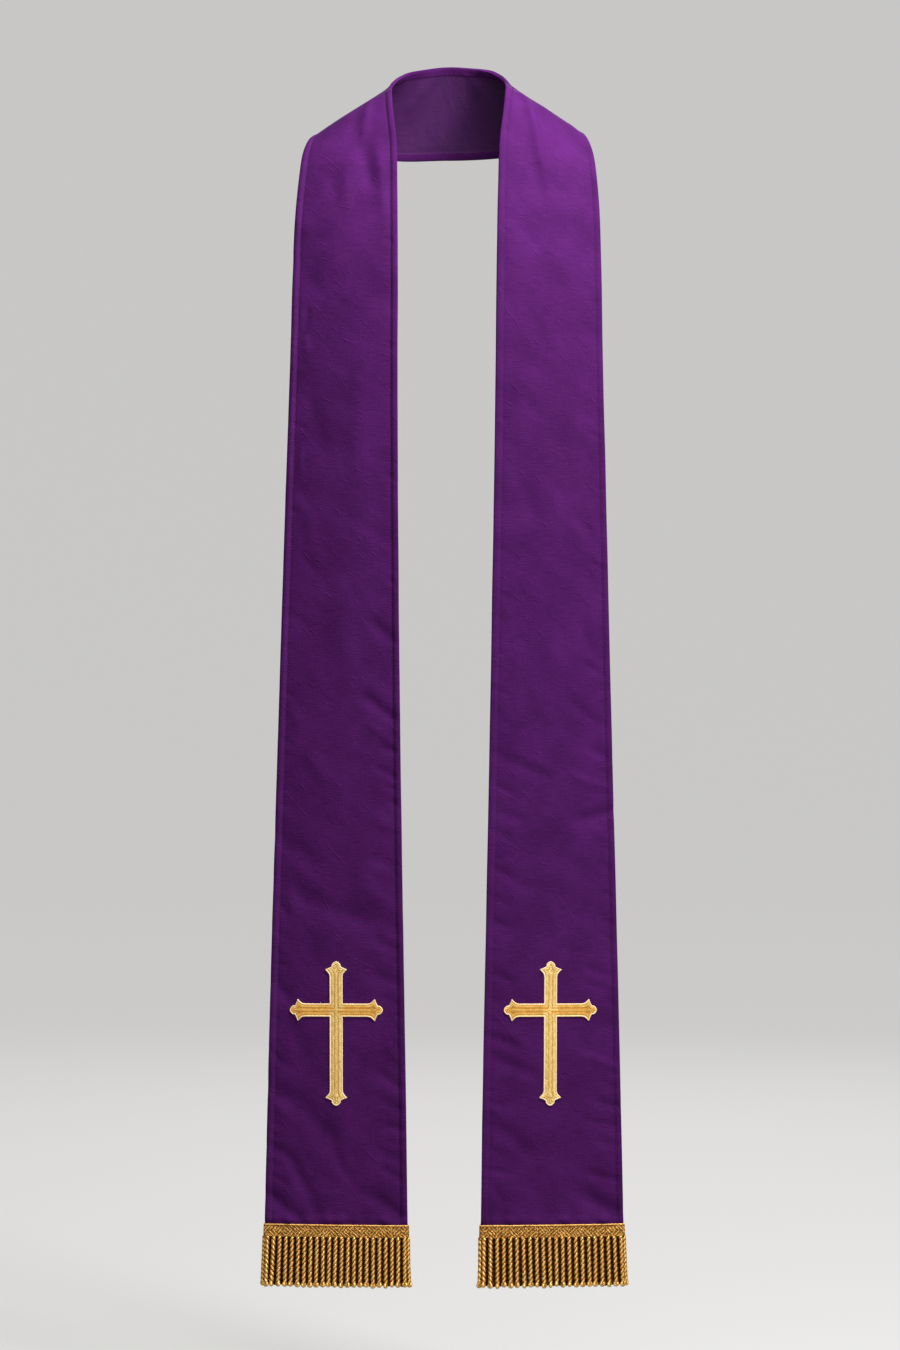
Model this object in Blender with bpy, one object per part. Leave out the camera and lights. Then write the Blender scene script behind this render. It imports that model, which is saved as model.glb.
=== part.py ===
"""Clerical stole in the shape it takes when worn: two halves joined at the centre back, each one a long
panel that runs from the nape over the shoulder and down the front, with a cross and a fringed hem.

Metres, +Z up. The front faces -Y, and left and right are as seen from the front. The origin is on the axis
of the neck opening, level with the place where the inner edges cross the tops of the shoulders.

Every point is worked out on one curved surface, midway through the cloth of the half at +X:
    s  runs down the strip from the centre back seam to the hem,
    a  runs across it from the edge at the neck to the edge at the shoulder,
    lift  is the distance off that surface, outwards.
The other half is its mirror image, and both hang a little to one side.
"""

import math
from collections import namedtuple

import bmesh
import bpy
import numpy as np

MM = 0.001
RIGHT, LEFT = 1, -1           # the two halves, as seen from the front

# Driving dimensions.
WALL = 2.4 * MM               # face cloth, interlining and lining together
GAP = 0.3 * MM                # between pieces that are sewn to each other
FRONT_DROP = 1275.6 * MM      # from the shoulder at the neck down to the top of the braid
HEM_SWAY = -4.8 * MM          # how far the hems hang to one side
LEFT_SHOULDER_DROP = 3.5 * MM  # how much lower the left shoulder is than the right
SHOULDER_DROP_FADES = 600.0 * MM

BRAID_HEIGHT = 13.9 * MM
BRAID_RETURN = 10.0 * MM      # how far the braid's ends turn round on to the back
BRAID_OVERHANG = 1.0 * MM     # how far the braid reaches below the cloth
BRAID_EDGE_GAP = 0.3 * MM     # between the cloth's edge and the braid drawn tight round it
BRAID_EDGE_SHARE = 0.45       # the share of the braid's thickness that is left there
FRINGE_LENGTH = 55.1 * MM
STRANDS_ACROSS = {RIGHT: 22, LEFT: 23}    # on the front of each half, between the two bends of the braid
STRAND_ROOT = 4.4 * MM        # how much of the braid one strand takes up
STRAND_RADIUS = 2.4 * MM
STRAND_TIPS_SPREAD = 1.2 * MM       # how far the tips near the sides stand out
SIDE_STRAND_FLARE = 1.6 * MM        # how much further the tips beside the hem stand out
STRANDS_LEAN = {RIGHT: 1.0 * MM, LEFT: -1.0 * MM}

CROSS_ABOVE_BRAID = 235.3 * MM
CROSS_UP = 53.6 * MM
CROSS_DOWN = 104.9 * MM
CROSS_SIDE = 51.7 * MM
CROSS_BAR = 14.5 * MM
CROSS_STEP = 14.0 * MM        # between the points along its arms
CROSS_INWARD = {RIGHT: 1.6 * MM, LEFT: -0.8 * MM}    # from the panel's middle towards its edge at the neck
CROSS_LEAN = 0.0065           # how much further inward it stands for each step down

# Cross-sections of the half at +X, from the centre back to the hem, in mm and degrees. x, y and z place its
# inner edge. width is the cut width there, turn swings the section round towards the back, dip tilts its
# outer edge down, and crown is how far its middle stands out.
Section = namedtuple("Section", "place x y z width turn dip crown")
SECTIONS = (
    Section("centre back", 0.0, 63.0, 29.0, 109.0, 90.0, 71.0, 3.0),
    Section("nape", 24.5, 59.5, 27.0, 109.0, 53.0, 66.0, 3.0),
    Section("back of the neck", 46.0, 46.0, 21.5, 108.5, 29.0, 56.0, 3.0),
    Section("back of the shoulder", 59.5, 24.0, 10.5, 107.5, 12.0, 45.0, 2.5),
    Section("shoulder", 64.0, 0.0, -1.0, 106.0, 0.0, 33.5, 2.0),
    Section("front of the shoulder", 63.5, -27.0, -10.5, 107.0, 1.0, 30.5, 2.0),
    Section("collarbone", 61.0, -55.0, -38.0, 109.5, 4.5, 23.5, 3.0),
    Section("upper chest", 57.0, -79.0, -73.0, 113.0, 7.5, 16.0, 4.0),
    Section("armhole", 55.5, -99.0, -126.0, 117.0, 9.5, 11.5, 5.0),
    Section("chest", 54.1, -117.0, -200.0, 120.5, 12.0, 8.0, 6.0),
    Section("below the chest", 53.6, -128.0, -300.0, 122.3, 12.5, 5.5, 6.0),
    Section("waist", 52.8, -133.0, -420.0, 125.6, 11.5, 3.8, 5.0),
    Section("hip", 51.1, -136.0, -560.0, 130.3, 10.0, 2.4, 4.5),
    Section("thigh", 49.5, -138.0, -680.0, 134.5, 8.7, 1.6, 4.0),
    Section("knee", 45.1, -141.0, -940.0, 145.4, 6.8, 0.6, 3.5),
    Section("below the knee", 41.9, -143.0, -1117.0, 152.6, 5.7, 0.2, 3.0),
    Section("hem", 39.6, -144.0, -1288.5, 158.6, 5.1, 0.0, 2.5),
)
SHOULDER = 4                  # the section on top of the shoulder, which the folds are measured from

# Rows of the mesh, by stretch of the strip: the section that it runs to, and about how far apart in mm.
Stretch = namedtuple("Stretch", "last_section row_step")
STRETCHES = (Stretch(9, 15.0), Stretch(13, 30.0), Stretch(16, 19.0))

# Columns of the mesh beside each edge, in mm: distance from the edge, and lift of the outer face, which has
# a rolled edge, a soft bead and the groove of the topstitching. The inner face has only the columns with
# inside set.
EdgeColumn = namedtuple("EdgeColumn", "inset lift inside")
EDGE_COLUMNS = (
    EdgeColumn(0.0, -0.5, True),
    EdgeColumn(1.7, 0.1, False),
    EdgeColumn(6.2, 0.2, False),
    EdgeColumn(7.7, -0.6, False),
    EdgeColumn(9.2, 0.1, True),
)
MIDDLE_COLUMNS = 6

# The largest folds, as troughs along a line on the strip. In mm: from and to are distances down from the top
# of the shoulder and across from the inner edge, with the trough's depth and half its width.
Fold = namedtuple("Fold", "side from_down from_across to_down to_across depth half_width")
FOLDS = (
    Fold(RIGHT, -30, 20, 60, 36, 3.4, 9),
    Fold(RIGHT, 60, 36, 150, 54, 2.6, 10),
    Fold(RIGHT, 15, 56, 75, 74, 2.4, 9),
    Fold(RIGHT, 455, 33, 530, 56, 1.4, 12),
    Fold(RIGHT, 775, 23, 797, 81, 1.4, 12),
    Fold(RIGHT, 1078, 14, 1126, 50, 1.8, 11),
    Fold(RIGHT, 1174, 12, 1243, 70, 1.8, 12),
    Fold(LEFT, -30, 24, 50, 26, 3.4, 9),
    Fold(LEFT, 50, 26, 130, 24, 2.4, 9),
    Fold(LEFT, 60, 55, 150, 62, 2.4, 10),
    Fold(LEFT, 720, 18, 705, 60, 1.4, 12),
    Fold(LEFT, 863, 129, 925, 62, 2.2, 12),
    Fold(LEFT, 925, 62, 944, 14, 1.6, 11),
    Fold(LEFT, 1034, 138, 1100, 112, 1.8, 11),
    Fold(LEFT, 1135, 137, 1180, 92, 2.2, 12),
    Fold(LEFT, 1190, 86, 1262, 52, 2.2, 12),
    Fold(LEFT, 1201, 141, 1262, 102, 2.0, 11),
)
FOLDS_END_ABOVE_BRAID = 10.0 * MM   # the braid keeps the hem flat
FOLDS_FADE = 25.0 * MM

# One side of an arm's end, in mm from the tip: how far back and how far out its outline goes, where on the
# arm's axis that point's relief runs to, and how much further in a mitred corner's rings lie.
EndPoint = namedtuple("EndPoint", "back out axis mitre")
ARM_END = (
    EndPoint(0.0, 0.0, 4.8, 1.2),
    EndPoint(1.9, 3.7, 5.2, 1.0),
    EndPoint(5.5, 5.0, 7.5, 0.8),
    EndPoint(8.6, 11.7, 10.5, 1.6),
    EndPoint(9.8, 11.7, 11.0, 1.5),
    EndPoint(12.8, 9.6, 13.5, 1.0),
    EndPoint(18.5, 7.25, 18.5, 1.0),
)
# Rings of the cross's relief, in mm: how far in from the outline, and how high.
Ring = namedtuple("Ring", "inset height")
CROSS_RINGS = (
    Ring(0.0, 0.9),
    Ring(0.9, 1.6),
    Ring(1.9, 1.0),
    Ring(4.2, 1.7),
)
CROSS_SEAM_HEIGHT = 1.1 * MM
CROSS_RING_REACH = 0.85       # the furthest a ring goes towards the axis, as a share of the way
CROSS_GAP = GAP + 0.1 * MM    # the cloth's facets bulge a little between its rows

# Rows of the braid, in mm: distance below its top edge, and its thickness there.
BraidRow = namedtuple("BraidRow", "down thickness")
BRAID_ROWS = (
    BraidRow(0.0, 1.3),
    BraidRow(1.8, 1.9),
    BraidRow(7.0, 1.6),
    BraidRow(12.1, 1.9),
    BraidRow(13.9, 1.6),
)
BEAD_ROOM = 0.2 * MM          # the braid lies on the beads of the cloth's edges

# Rings of a strand: share of its length, share of its radius, and how far it has twisted.
StrandRing = namedtuple("StrandRing", "down size twist")
STRAND_RINGS = (
    StrandRing(0.06, 0.9, 0),
    StrandRing(0.25, 1.0, 45),
    StrandRing(0.44, 1.0, 90),
    StrandRing(0.63, 1.0, 135),
    StrandRing(0.82, 1.0, 180),
    StrandRing(0.97, 1.0, 215),
    StrandRing(1.00, 0.6, 215),
)

Colour = namedtuple("Colour", "red green blue roughness")
PURPLE_CLOTH = Colour(0.112, 0.016, 0.175, 0.85)
GOLD_SATIN = Colour(0.72, 0.44, 0.12, 0.45)
GOLD_BULLION = Colour(0.48, 0.25, 0.05, 0.5)


# ---- the surface ----------------------------------------------------------------------------------------

def section_table():
    """The sections as one array in metres and radians, a row for each."""
    degree = math.radians(1)
    units = np.array([MM, MM, MM, MM, degree, degree, MM])
    return np.array([row[1:] for row in SECTIONS]) * units


def section_middles(table):
    """The middle of each section."""
    x, y, z, width, turn, dip, _ = table.T
    half = width / 2
    return np.stack([
        x + half * np.cos(dip) * np.cos(turn),
        y + half * np.cos(dip) * np.sin(turn),
        z - half * np.sin(dip),
    ], axis=1)


TABLE = section_table()
MIDDLES = section_middles(TABLE)
KNOTS = np.concatenate([[0.0], np.cumsum(np.linalg.norm(np.diff(MIDDLES, axis=0), axis=1))])
LENGTH = KNOTS[-1]
SHOULDER_AT = KNOTS[SHOULDER]
BRAID_TOP = LENGTH + BRAID_OVERHANG - BRAID_HEIGHT
NECK_HALF_WIDTH = TABLE[SHOULDER, 0]


def knot_slopes():
    """How fast each column of the table changes along the strip, at each section."""
    steps = np.diff(KNOTS)[:, None]
    rates = np.diff(TABLE, axis=0) / steps
    slopes = np.empty_like(TABLE)
    slopes[1:-1] = (rates[1:] * steps[:-1] + rates[:-1] * steps[1:]) / (steps[1:] + steps[:-1])
    slopes[0] = rates[0]
    slopes[-1] = rates[-1]
    slopes[0, [1, 2, 3, 5, 6]] = 0.0    # the halves mirror each other at the centre back
    return slopes


SLOPES = knot_slopes()


def section_at(s):
    """The table's columns at distances s, on a smooth curve through its rows."""
    s = np.clip(s, 0.0, LENGTH)
    i = np.clip(np.searchsorted(KNOTS, s, side="right") - 1, 0, len(KNOTS) - 2)
    step = KNOTS[i + 1] - KNOTS[i]
    u = ((s - KNOTS[i]) / step)[..., None]
    step = step[..., None]
    return (
        (1 + 2 * u) * (1 - u) ** 2 * TABLE[i]
        + u * (1 - u) ** 2 * step * SLOPES[i]
        + u ** 2 * (3 - 2 * u) * TABLE[i + 1]
        + u ** 2 * (u - 1) * step * SLOPES[i + 1]
    )


def width_at(s):
    return section_at(s)[..., 3]


def ruled(s, a):
    """Points a metres across the straight section at s. Before 0 the strip runs on into its mirror image,
    and past the hem it runs straight down."""
    x, y, z, _, turn, dip, _ = np.moveaxis(section_at(np.abs(s)), -1, 0)
    mirror = np.where(s < 0, -1.0, 1.0)
    below = np.maximum(s - LENGTH, 0.0)
    return np.stack([
        mirror * (x + a * np.cos(dip) * np.cos(turn)),
        y + a * np.cos(dip) * np.sin(turn),
        z - a * np.sin(dip) - below,
    ], axis=-1)


def unit(vectors):
    return vectors / np.linalg.norm(vectors, axis=-1, keepdims=True)


def outward(s, a):
    """Unit vectors that point out of the cloth's face."""
    nudge = 1.0 * MM
    along = ruled(s + nudge, a) - ruled(s - nudge, a)
    across = ruled(s, a + nudge) - ruled(s, a - nudge)
    return unit(np.cross(along, across))


def fold_depth(side, s, a):
    """How far the folds of one half push the cloth in."""
    depth = np.zeros(np.broadcast(s, a).shape)
    down = s - SHOULDER_AT
    for fold in FOLDS:
        if fold.side != side:
            continue
        start = np.array([fold.from_down, fold.from_across]) * MM
        run = np.array([fold.to_down, fold.to_across]) * MM - start
        reach = ((down - start[0]) * run[0] + (a - start[1]) * run[1]) / (run @ run)
        reach = np.clip(reach, 0.0, 1.0)
        away = np.hypot(down - start[0] - reach * run[0], a - start[1] - reach * run[1])
        depth = np.maximum(depth, fold.depth * MM * np.exp(-(away / (fold.half_width * MM)) ** 2))
    return depth * smooth_step((BRAID_TOP - FOLDS_END_ABOVE_BRAID - s) / FOLDS_FADE)


def surface(side, s, a, lift=0.0):
    """Points on one half of the stole, lift metres off the middle of its cloth."""
    s, a, lift = np.broadcast_arrays(np.asarray(s, float), np.asarray(a, float), np.asarray(lift, float))
    section = section_at(np.abs(s))
    t = a / section[..., 3]
    crown = section[..., 6] * np.clip(4 * t * (1 - t), 0.0, 1.0)
    points = ruled(s, a) + outward(s, a) * (crown - fold_depth(side, s, a) + lift)[..., None]
    return place(side, points)


def smooth_step(share):
    share = np.clip(share, 0.0, 1.0)
    return share * share * (3 - 2 * share)


def place(side, points):
    """Moves points of the +X half to either half: off the centre seam, mirrored, lowered at the left
    shoulder, and swayed."""
    x, y, z = np.moveaxis(points, -1, 0)
    if side == LEFT:
        off_the_seam = smooth_step(x / NECK_HALF_WIDTH)
        near_the_top = smooth_step(1 + z / SHOULDER_DROP_FADES)
        z = z - LEFT_SHOULDER_DROP * off_the_seam * near_the_top
    down = np.clip(-z / FRONT_DROP, 0.0, 1.0)
    sway = HEM_SWAY * down * (2 - down)
    return np.stack([side * (x + GAP / 2) + sway, y, z], axis=-1)


# ---- the panels -----------------------------------------------------------------------------------------

def panel_rows():
    """Distances of a panel's rows from the centre back."""
    rows = [np.array([0.0])]
    start = 0.0
    for stretch in STRETCHES:
        end = KNOTS[stretch.last_section]
        count = round((end - start) / (stretch.row_step * MM))
        rows.append(np.linspace(start, end, count + 1)[1:])
        start = end
    return np.concatenate(rows)


def panel_columns(width):
    """Distance across, lift of the outer face, and whether the inner face has it, for each column."""
    edge = [(c.inset * MM, c.lift * MM, c.inside) for c in EDGE_COLUMNS]
    first = edge[-1][0]
    step = (width - 2 * first) / (MIDDLE_COLUMNS + 1)
    middle = [(first + step * (k + 1), 0.0, True) for k in range(MIDDLE_COLUMNS)]
    far_edge = [(width - a, lift, inside) for a, lift, inside in reversed(edge)]
    return edge + middle + far_edge


def outer_face(side):
    """The rows of a panel's outer face: distance down, distances across, and points."""
    face = []
    for s in panel_rows():
        columns = panel_columns(width_at(s))
        a = np.array([column[0] for column in columns])
        lift = np.array([column[1] for column in columns])
        face.append((s, a, surface(side, s, a, WALL / 2 + lift)))
    return face


def make_panel(name, side, material):
    """One half of the stole: a closed wall with its edges and folds raised in the outer face."""
    inside = [k for k, column in enumerate(panel_columns(1.0)) if column[2]]
    bm = bmesh.new()
    outer, inner = [], []
    for s, a, points in outer_face(side):
        outer.append([bm.verts.new(p) for p in points])
        inner.append([bm.verts.new(p) for p in surface(side, s, a[inside], -WALL / 2)])
    for r in range(len(outer) - 1):
        add_band(bm, outer[r], outer[r + 1])
        add_band(bm, inner[r], inner[r + 1])
        for end in (0, -1):
            bm.faces.new((outer[r][end], outer[r + 1][end], inner[r + 1][end], inner[r][end]))
    for r in (0, -1):
        for k in range(len(inside) - 1):
            top = outer[r][inside[k]:inside[k + 1] + 1]
            bm.faces.new(top + [inner[r][k + 1], inner[r][k]])
    return finish(bm, name, material)


def add_band(bm, row, next_row):
    """The faces between two rows with the same number of points."""
    for k in range(len(row) - 1):
        bm.faces.new((row[k], row[k + 1], next_row[k + 1], next_row[k]))


def above_face(face, side, s, a, height):
    """A point over the flat facets of a panel's outer face, height metres off them."""
    r = int(np.searchsorted([row[0] for row in face], s)) - 1
    (s0, a0, points0), (s1, a1, points1) = face[r], face[r + 1]
    u = (s - s0) / (s1 - s0)
    across = a0 * (1 - u) + a1 * u
    k = int(np.searchsorted(across, a)) - 1
    v = (a - across[k]) / (across[k + 1] - across[k])
    upper = points0[k] * (1 - v) + points0[k + 1] * v
    lower = points1[k] * (1 - v) + points1[k + 1] * v
    out = surface(side, s, a, MM) - surface(side, s, a, 0.0)
    return upper * (1 - u) + lower * u + unit(out) * height


# ---- the crosses ----------------------------------------------------------------------------------------

def arm_outline(length):
    """The outline of one arm in mm, from its left corner round its tip to its right corner: distance along
    the arm, distance out, distance along the arm of the axis point, and mitre."""
    bar = CROSS_BAR / MM / 2
    reach = length / MM
    end = [(reach - p.back, p.out, reach - p.axis, p.mitre) for p in ARM_END]
    corner = (bar, bar, 0.0, math.sqrt(2))
    straight = end[-1][0] - bar
    count = math.ceil(straight * MM / CROSS_STEP)
    steps = [bar + straight * k / count for k in range(1, count)]
    side = end + [(along, bar, along, 1.0) for along in reversed(steps)] + [corner]
    return side[::-1] + [(along, -out, axis, mitre) for along, out, axis, mitre in side[1:-1]]


def cross_outline():
    """The outline of the cross in mm about its crossing: outline x and y, axis x and y, and mitre."""
    arms = (
        (90, CROSS_UP),
        (0, CROSS_SIDE),
        (-90, CROSS_DOWN),
        (180, CROSS_SIDE),
    )
    outline = []
    for angle, length in arms:
        c, s = round(math.cos(math.radians(angle))), round(math.sin(math.radians(angle)))
        for along, out, axis, mitre in arm_outline(length):
            outline.append((along * c - out * s, along * s + out * c, axis * c, axis * s, mitre))
    return outline


def make_cross(name, side, material):
    """A padded cross that lies on its panel: a corded outline, and two rolls along each arm with a seam."""
    centre_s = BRAID_TOP - CROSS_ABOVE_BRAID
    outline = cross_outline()
    face = outer_face(side)
    bm = bmesh.new()

    def on_panel(x, y, height):
        s = centre_s - y * MM
        a = width_at(s) / 2 - CROSS_INWARD[side] + CROSS_LEAN * y * MM + side * x * MM
        return above_face(face, side, s, a, CROSS_GAP + height)

    def axis_points(height):
        """One point for each different place on the axes, shared by the outline points that run to it."""
        places = {}
        for _, _, x, y, _ in outline:
            key = (round(x, 3), round(y, 3))
            if key not in places:
                places[key] = bm.verts.new(on_panel(x, y, height))
        return [places[(round(x, 3), round(y, 3))] for _, _, x, y, _ in outline]

    def ring_points(inset, height):
        """The outline, moved in towards the axes."""
        points = []
        for x, y, axis_x, axis_y, mitre in outline:
            span = math.hypot(axis_x - x, axis_y - y)
            share = min(inset * mitre / span, CROSS_RING_REACH)
            points.append(on_panel(x + (axis_x - x) * share, y + (axis_y - y) * share, height))
        return [bm.verts.new(p) for p in points]

    base = ring_points(0.0, 0.0)
    rings = [ring_points(ring.inset, ring.height * MM) for ring in CROSS_RINGS]
    layers = [axis_points(0.0), base] + rings + [axis_points(CROSS_SEAM_HEIGHT)]
    for lower, upper in zip(layers, layers[1:]):
        for k in range(len(outline)):
            n = (k + 1) % len(outline)
            corners = []
            for vert in (lower[k], lower[n], upper[n], upper[k]):
                if vert not in corners:
                    corners.append(vert)
            if len(corners) > 2:
                bm.faces.new(corners)
    return finish(bm, name, material)


# ---- the fringes ----------------------------------------------------------------------------------------

# A place along the braid: distance across the panel, and the angle off the panel's face, which is 0 on the
# front, 90 beside an edge and 180 on the back. root says that a strand starts here and ends at the next.
Station = namedtuple("Station", "across angle root")


def braid_stations(width, strands_across):
    """The braid's stations, from its end on the back of the inner edge round the front to the outer edge."""
    bend = 90 - math.degrees(STRAND_ROOT / 2 / (WALL / 2 + GAP + BEAD_ROOM + BRAID_ROWS[-1].thickness * MM))
    start = (BRAID_RETURN - STRAND_ROOT) / 2
    turn = [
        Station(BRAID_RETURN, 180, False),
        Station(start + STRAND_ROOT, 180, True),
        Station(start, 180, False),
        Station(0.0, 180, False),
        Station(0.0, 180 - bend, True),
        Station(0.0, bend, False),
        Station(0.0, 0, False),
    ]
    pitch = width / strands_across
    front = []
    for k in range(strands_across):
        middle = (k + 0.5) * pitch
        front.append(Station(middle - STRAND_ROOT / 2, 0, True))
        front.append(Station(middle + STRAND_ROOT / 2, 0, False))
    far_turn = [Station(width - p.across, p.angle, False) for p in reversed(turn)]
    for k, station in enumerate(far_turn[:-1]):
        starts_root = turn[len(turn) - 2 - k].root
        far_turn[k] = station._replace(root=starts_root)
    return turn + front + far_turn


def drawn_tight(reach, angle):
    """How far a point of the braid is from the cloth's middle. It would be at reach, but beside an edge the
    braid is thinner, and drawn tight."""
    back = WALL / 2 + BEAD_ROOM + GAP
    tight = BRAID_EDGE_GAP + BRAID_EDGE_SHARE * (reach - back)
    beside = abs(math.sin(angle))
    return reach + (tight - reach) * beside


def beside_panel(side, s, station, reach):
    """A point of the braid, off the cloth's middle in the station's direction."""
    width = width_at(s)
    a = min(max(station.across, 0.0), width)
    middle = ruled(np.float64(s), np.float64(a))
    out = outward(np.float64(s), np.float64(a))
    across = unit(ruled(np.float64(s), np.float64(a) + MM) - middle)
    if station.across < width / 2:
        across = -across
    section = section_at(np.float64(s))
    t = a / width
    crown = section[6] * 4 * t * (1 - t)
    angle = math.radians(station.angle)
    direction = math.cos(angle) * out + math.sin(angle) * across
    return place(side, middle + out * crown + direction * drawn_tight(reach, angle))


def make_fringe(name, side, material):
    """The braid round the hem, with a twisted strand below each of its roots, all one body."""
    stations = braid_stations(width_at(LENGTH), STRANDS_ACROSS[side])
    cloth = WALL / 2 + BEAD_ROOM + GAP
    bm = bmesh.new()

    def row_of_points(down, reach):
        s = BRAID_TOP + down * MM
        return [bm.verts.new(beside_panel(side, s, station, reach)) for station in stations]

    faces = [row_of_points(row.down, cloth + row.thickness * MM) for row in BRAID_ROWS]
    back_top = row_of_points(BRAID_ROWS[0].down, cloth)
    back_foot = row_of_points(BRAID_ROWS[-1].down, cloth)
    for row, next_row in zip(faces, faces[1:]):
        add_band(bm, row, next_row)
    add_band(bm, back_top, back_foot)
    add_band(bm, faces[0], back_top)
    for end in (0, -1):
        bm.faces.new([row[end] for row in faces] + [back_foot[end], back_top[end]])
    for k in range(len(stations) - 1):
        root = (faces[-1][k], faces[-1][k + 1], back_foot[k + 1], back_foot[k])
        if stations[k].root:
            add_strand(bm, root, side)
        else:
            bm.faces.new(root)
    return finish(bm, name, material)


def add_strand(bm, root, side):
    """A four-sided strand that hangs from the root's four points and twists as it goes down. The nearer it is
    to a side of the hem, the further its tip stands out."""
    corners = [np.array(vert.co) for vert in root]
    centre = np.mean(corners, axis=0)
    first, second = corners[0] - centre, corners[1] - centre
    start_angle = math.atan2(first[1], first[0])
    way_round = math.copysign(1.0, first[0] * second[1] - first[1] * second[0])
    half_width = width_at(LENGTH) / 2
    middle_x = side * (TABLE[-1][0] + half_width) + HEM_SWAY
    from_middle = (centre[0] - middle_x) / half_width
    outwards = math.copysign(1.0, from_middle)
    flare = outwards * SIDE_STRAND_FLARE if abs(from_middle) > 1 else 0.0
    tip_spread = STRAND_TIPS_SPREAD * from_middle * abs(from_middle) + STRANDS_LEAN[side]
    above = list(root)
    for strand_ring in STRAND_RINGS:
        down = strand_ring.down
        radius = STRAND_RADIUS * strand_ring.size
        aside = tip_spread * down + flare * down ** 3
        ring_centre = centre + np.array([aside, 0.0, -FRINGE_LENGTH * down])
        ring = []
        for corner in range(4):
            angle = start_angle + way_round * math.radians(90 * corner + strand_ring.twist)
            spoke = np.array([math.cos(angle), math.sin(angle), 0.0]) * radius
            ring.append(bm.verts.new(ring_centre + spoke))
        for corner in range(4):
            n = (corner + 1) % 4
            bm.faces.new((above[corner], above[n], ring[n], ring[corner]))
        above = ring
    bm.faces.new(above)


# ---- objects --------------------------------------------------------------------------------------------

def make_material(name, colour):
    material = bpy.data.materials.new(name)
    material.use_nodes = True
    shader = material.node_tree.nodes["Principled BSDF"]
    shader.inputs["Base Color"].default_value = (colour.red, colour.green, colour.blue, 1.0)
    shader.inputs["Roughness"].default_value = colour.roughness
    shader.inputs["Metallic"].default_value = 0.0
    return material


def finish(bm, name, material):
    """Turns a closed mesh into an object with its faces pointing out."""
    bmesh.ops.recalc_face_normals(bm, faces=bm.faces)
    mesh = bpy.data.meshes.new(name)
    bm.to_mesh(mesh)
    bm.free()
    mesh.materials.append(material)
    mesh.shade_smooth()
    mesh.set_sharp_from_angle(angle=math.radians(35))
    thing = bpy.data.objects.new(name, mesh)
    bpy.context.collection.objects.link(thing)
    return thing


def main():
    for thing in list(bpy.data.objects):
        bpy.data.objects.remove(thing, do_unlink=True)
    for side, word in ((LEFT, "left"), (RIGHT, "right")):
        make_panel(f"panel_{word}", side, make_material(f"purple_cloth_{word}", PURPLE_CLOTH))
        make_cross(f"cross_{word}", side, make_material(f"gold_satin_{word}", GOLD_SATIN))
        make_fringe(f"fringe_{word}", side, make_material(f"gold_bullion_{word}", GOLD_BULLION))


main()
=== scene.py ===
"""Looks of the clerical stole: fine cloth, embroidered crosses, and braid and bullion at the hems.

Metres, +Z up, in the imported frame: the front faces -Y, and left and right are as seen from the front. Each
half of the stole is worked out on the same curved surface as its solid:
    s  runs down the strip from the centre back seam to the hem,
    a  runs across it from the edge at the neck to the edge at the shoulder,
    lift  is the distance off that surface, outwards.
"""

import math
from collections import namedtuple

import bmesh
import bpy
import numpy as np
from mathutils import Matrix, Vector


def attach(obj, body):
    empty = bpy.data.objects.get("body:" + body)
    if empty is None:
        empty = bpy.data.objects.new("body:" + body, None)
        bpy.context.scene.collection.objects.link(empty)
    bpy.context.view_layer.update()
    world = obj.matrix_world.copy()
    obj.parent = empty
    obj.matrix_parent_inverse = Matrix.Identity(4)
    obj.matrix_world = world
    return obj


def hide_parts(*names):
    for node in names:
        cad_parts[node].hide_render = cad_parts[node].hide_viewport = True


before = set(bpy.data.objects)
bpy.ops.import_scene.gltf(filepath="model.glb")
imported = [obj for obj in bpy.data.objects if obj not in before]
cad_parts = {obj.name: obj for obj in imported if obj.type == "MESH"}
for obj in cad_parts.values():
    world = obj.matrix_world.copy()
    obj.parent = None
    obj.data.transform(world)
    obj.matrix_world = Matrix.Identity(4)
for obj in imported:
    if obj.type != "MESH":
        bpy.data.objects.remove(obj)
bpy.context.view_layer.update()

MM = 0.001
RIGHT, LEFT = 1, -1
SIDES = ((LEFT, "left"), (RIGHT, "right"))

# ---- sizes shared with the solids -------------------------------------------------------------------------

WALL = 2.4 * MM
GAP = 0.3 * MM
FRONT_DROP = 1275.6 * MM
HEM_SWAY = -4.8 * MM
LEFT_SHOULDER_DROP = 3.5 * MM
SHOULDER_DROP_FADES = 600.0 * MM

BRAID_HEIGHT = 13.9 * MM
BRAID_THICKNESS = 1.6 * MM
BRAID_RETURN = 10.0 * MM
BRAID_OVERHANG = 1.0 * MM
BRAID_EDGE_GAP = 0.3 * MM
BRAID_EDGE_SHARE = 0.45
BEAD_ROOM = 0.2 * MM
FRINGE_LENGTH = 55.1 * MM
STRANDS_ACROSS = {RIGHT: 22, LEFT: 23}
STRAND_TIPS_SPREAD = 1.2 * MM
SIDE_STRAND_FLARE = 1.6 * MM
STRANDS_LEAN = {RIGHT: 1.0 * MM, LEFT: -1.0 * MM}

CROSS_ABOVE_BRAID = 235.3 * MM
CROSS_UP = 53.6
CROSS_DOWN = 104.9
CROSS_SIDE = 51.7
CROSS_BAR = 14.5
CROSS_INWARD = {RIGHT: 1.6 * MM, LEFT: -0.8 * MM}
CROSS_LEAN = 0.0065

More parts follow.
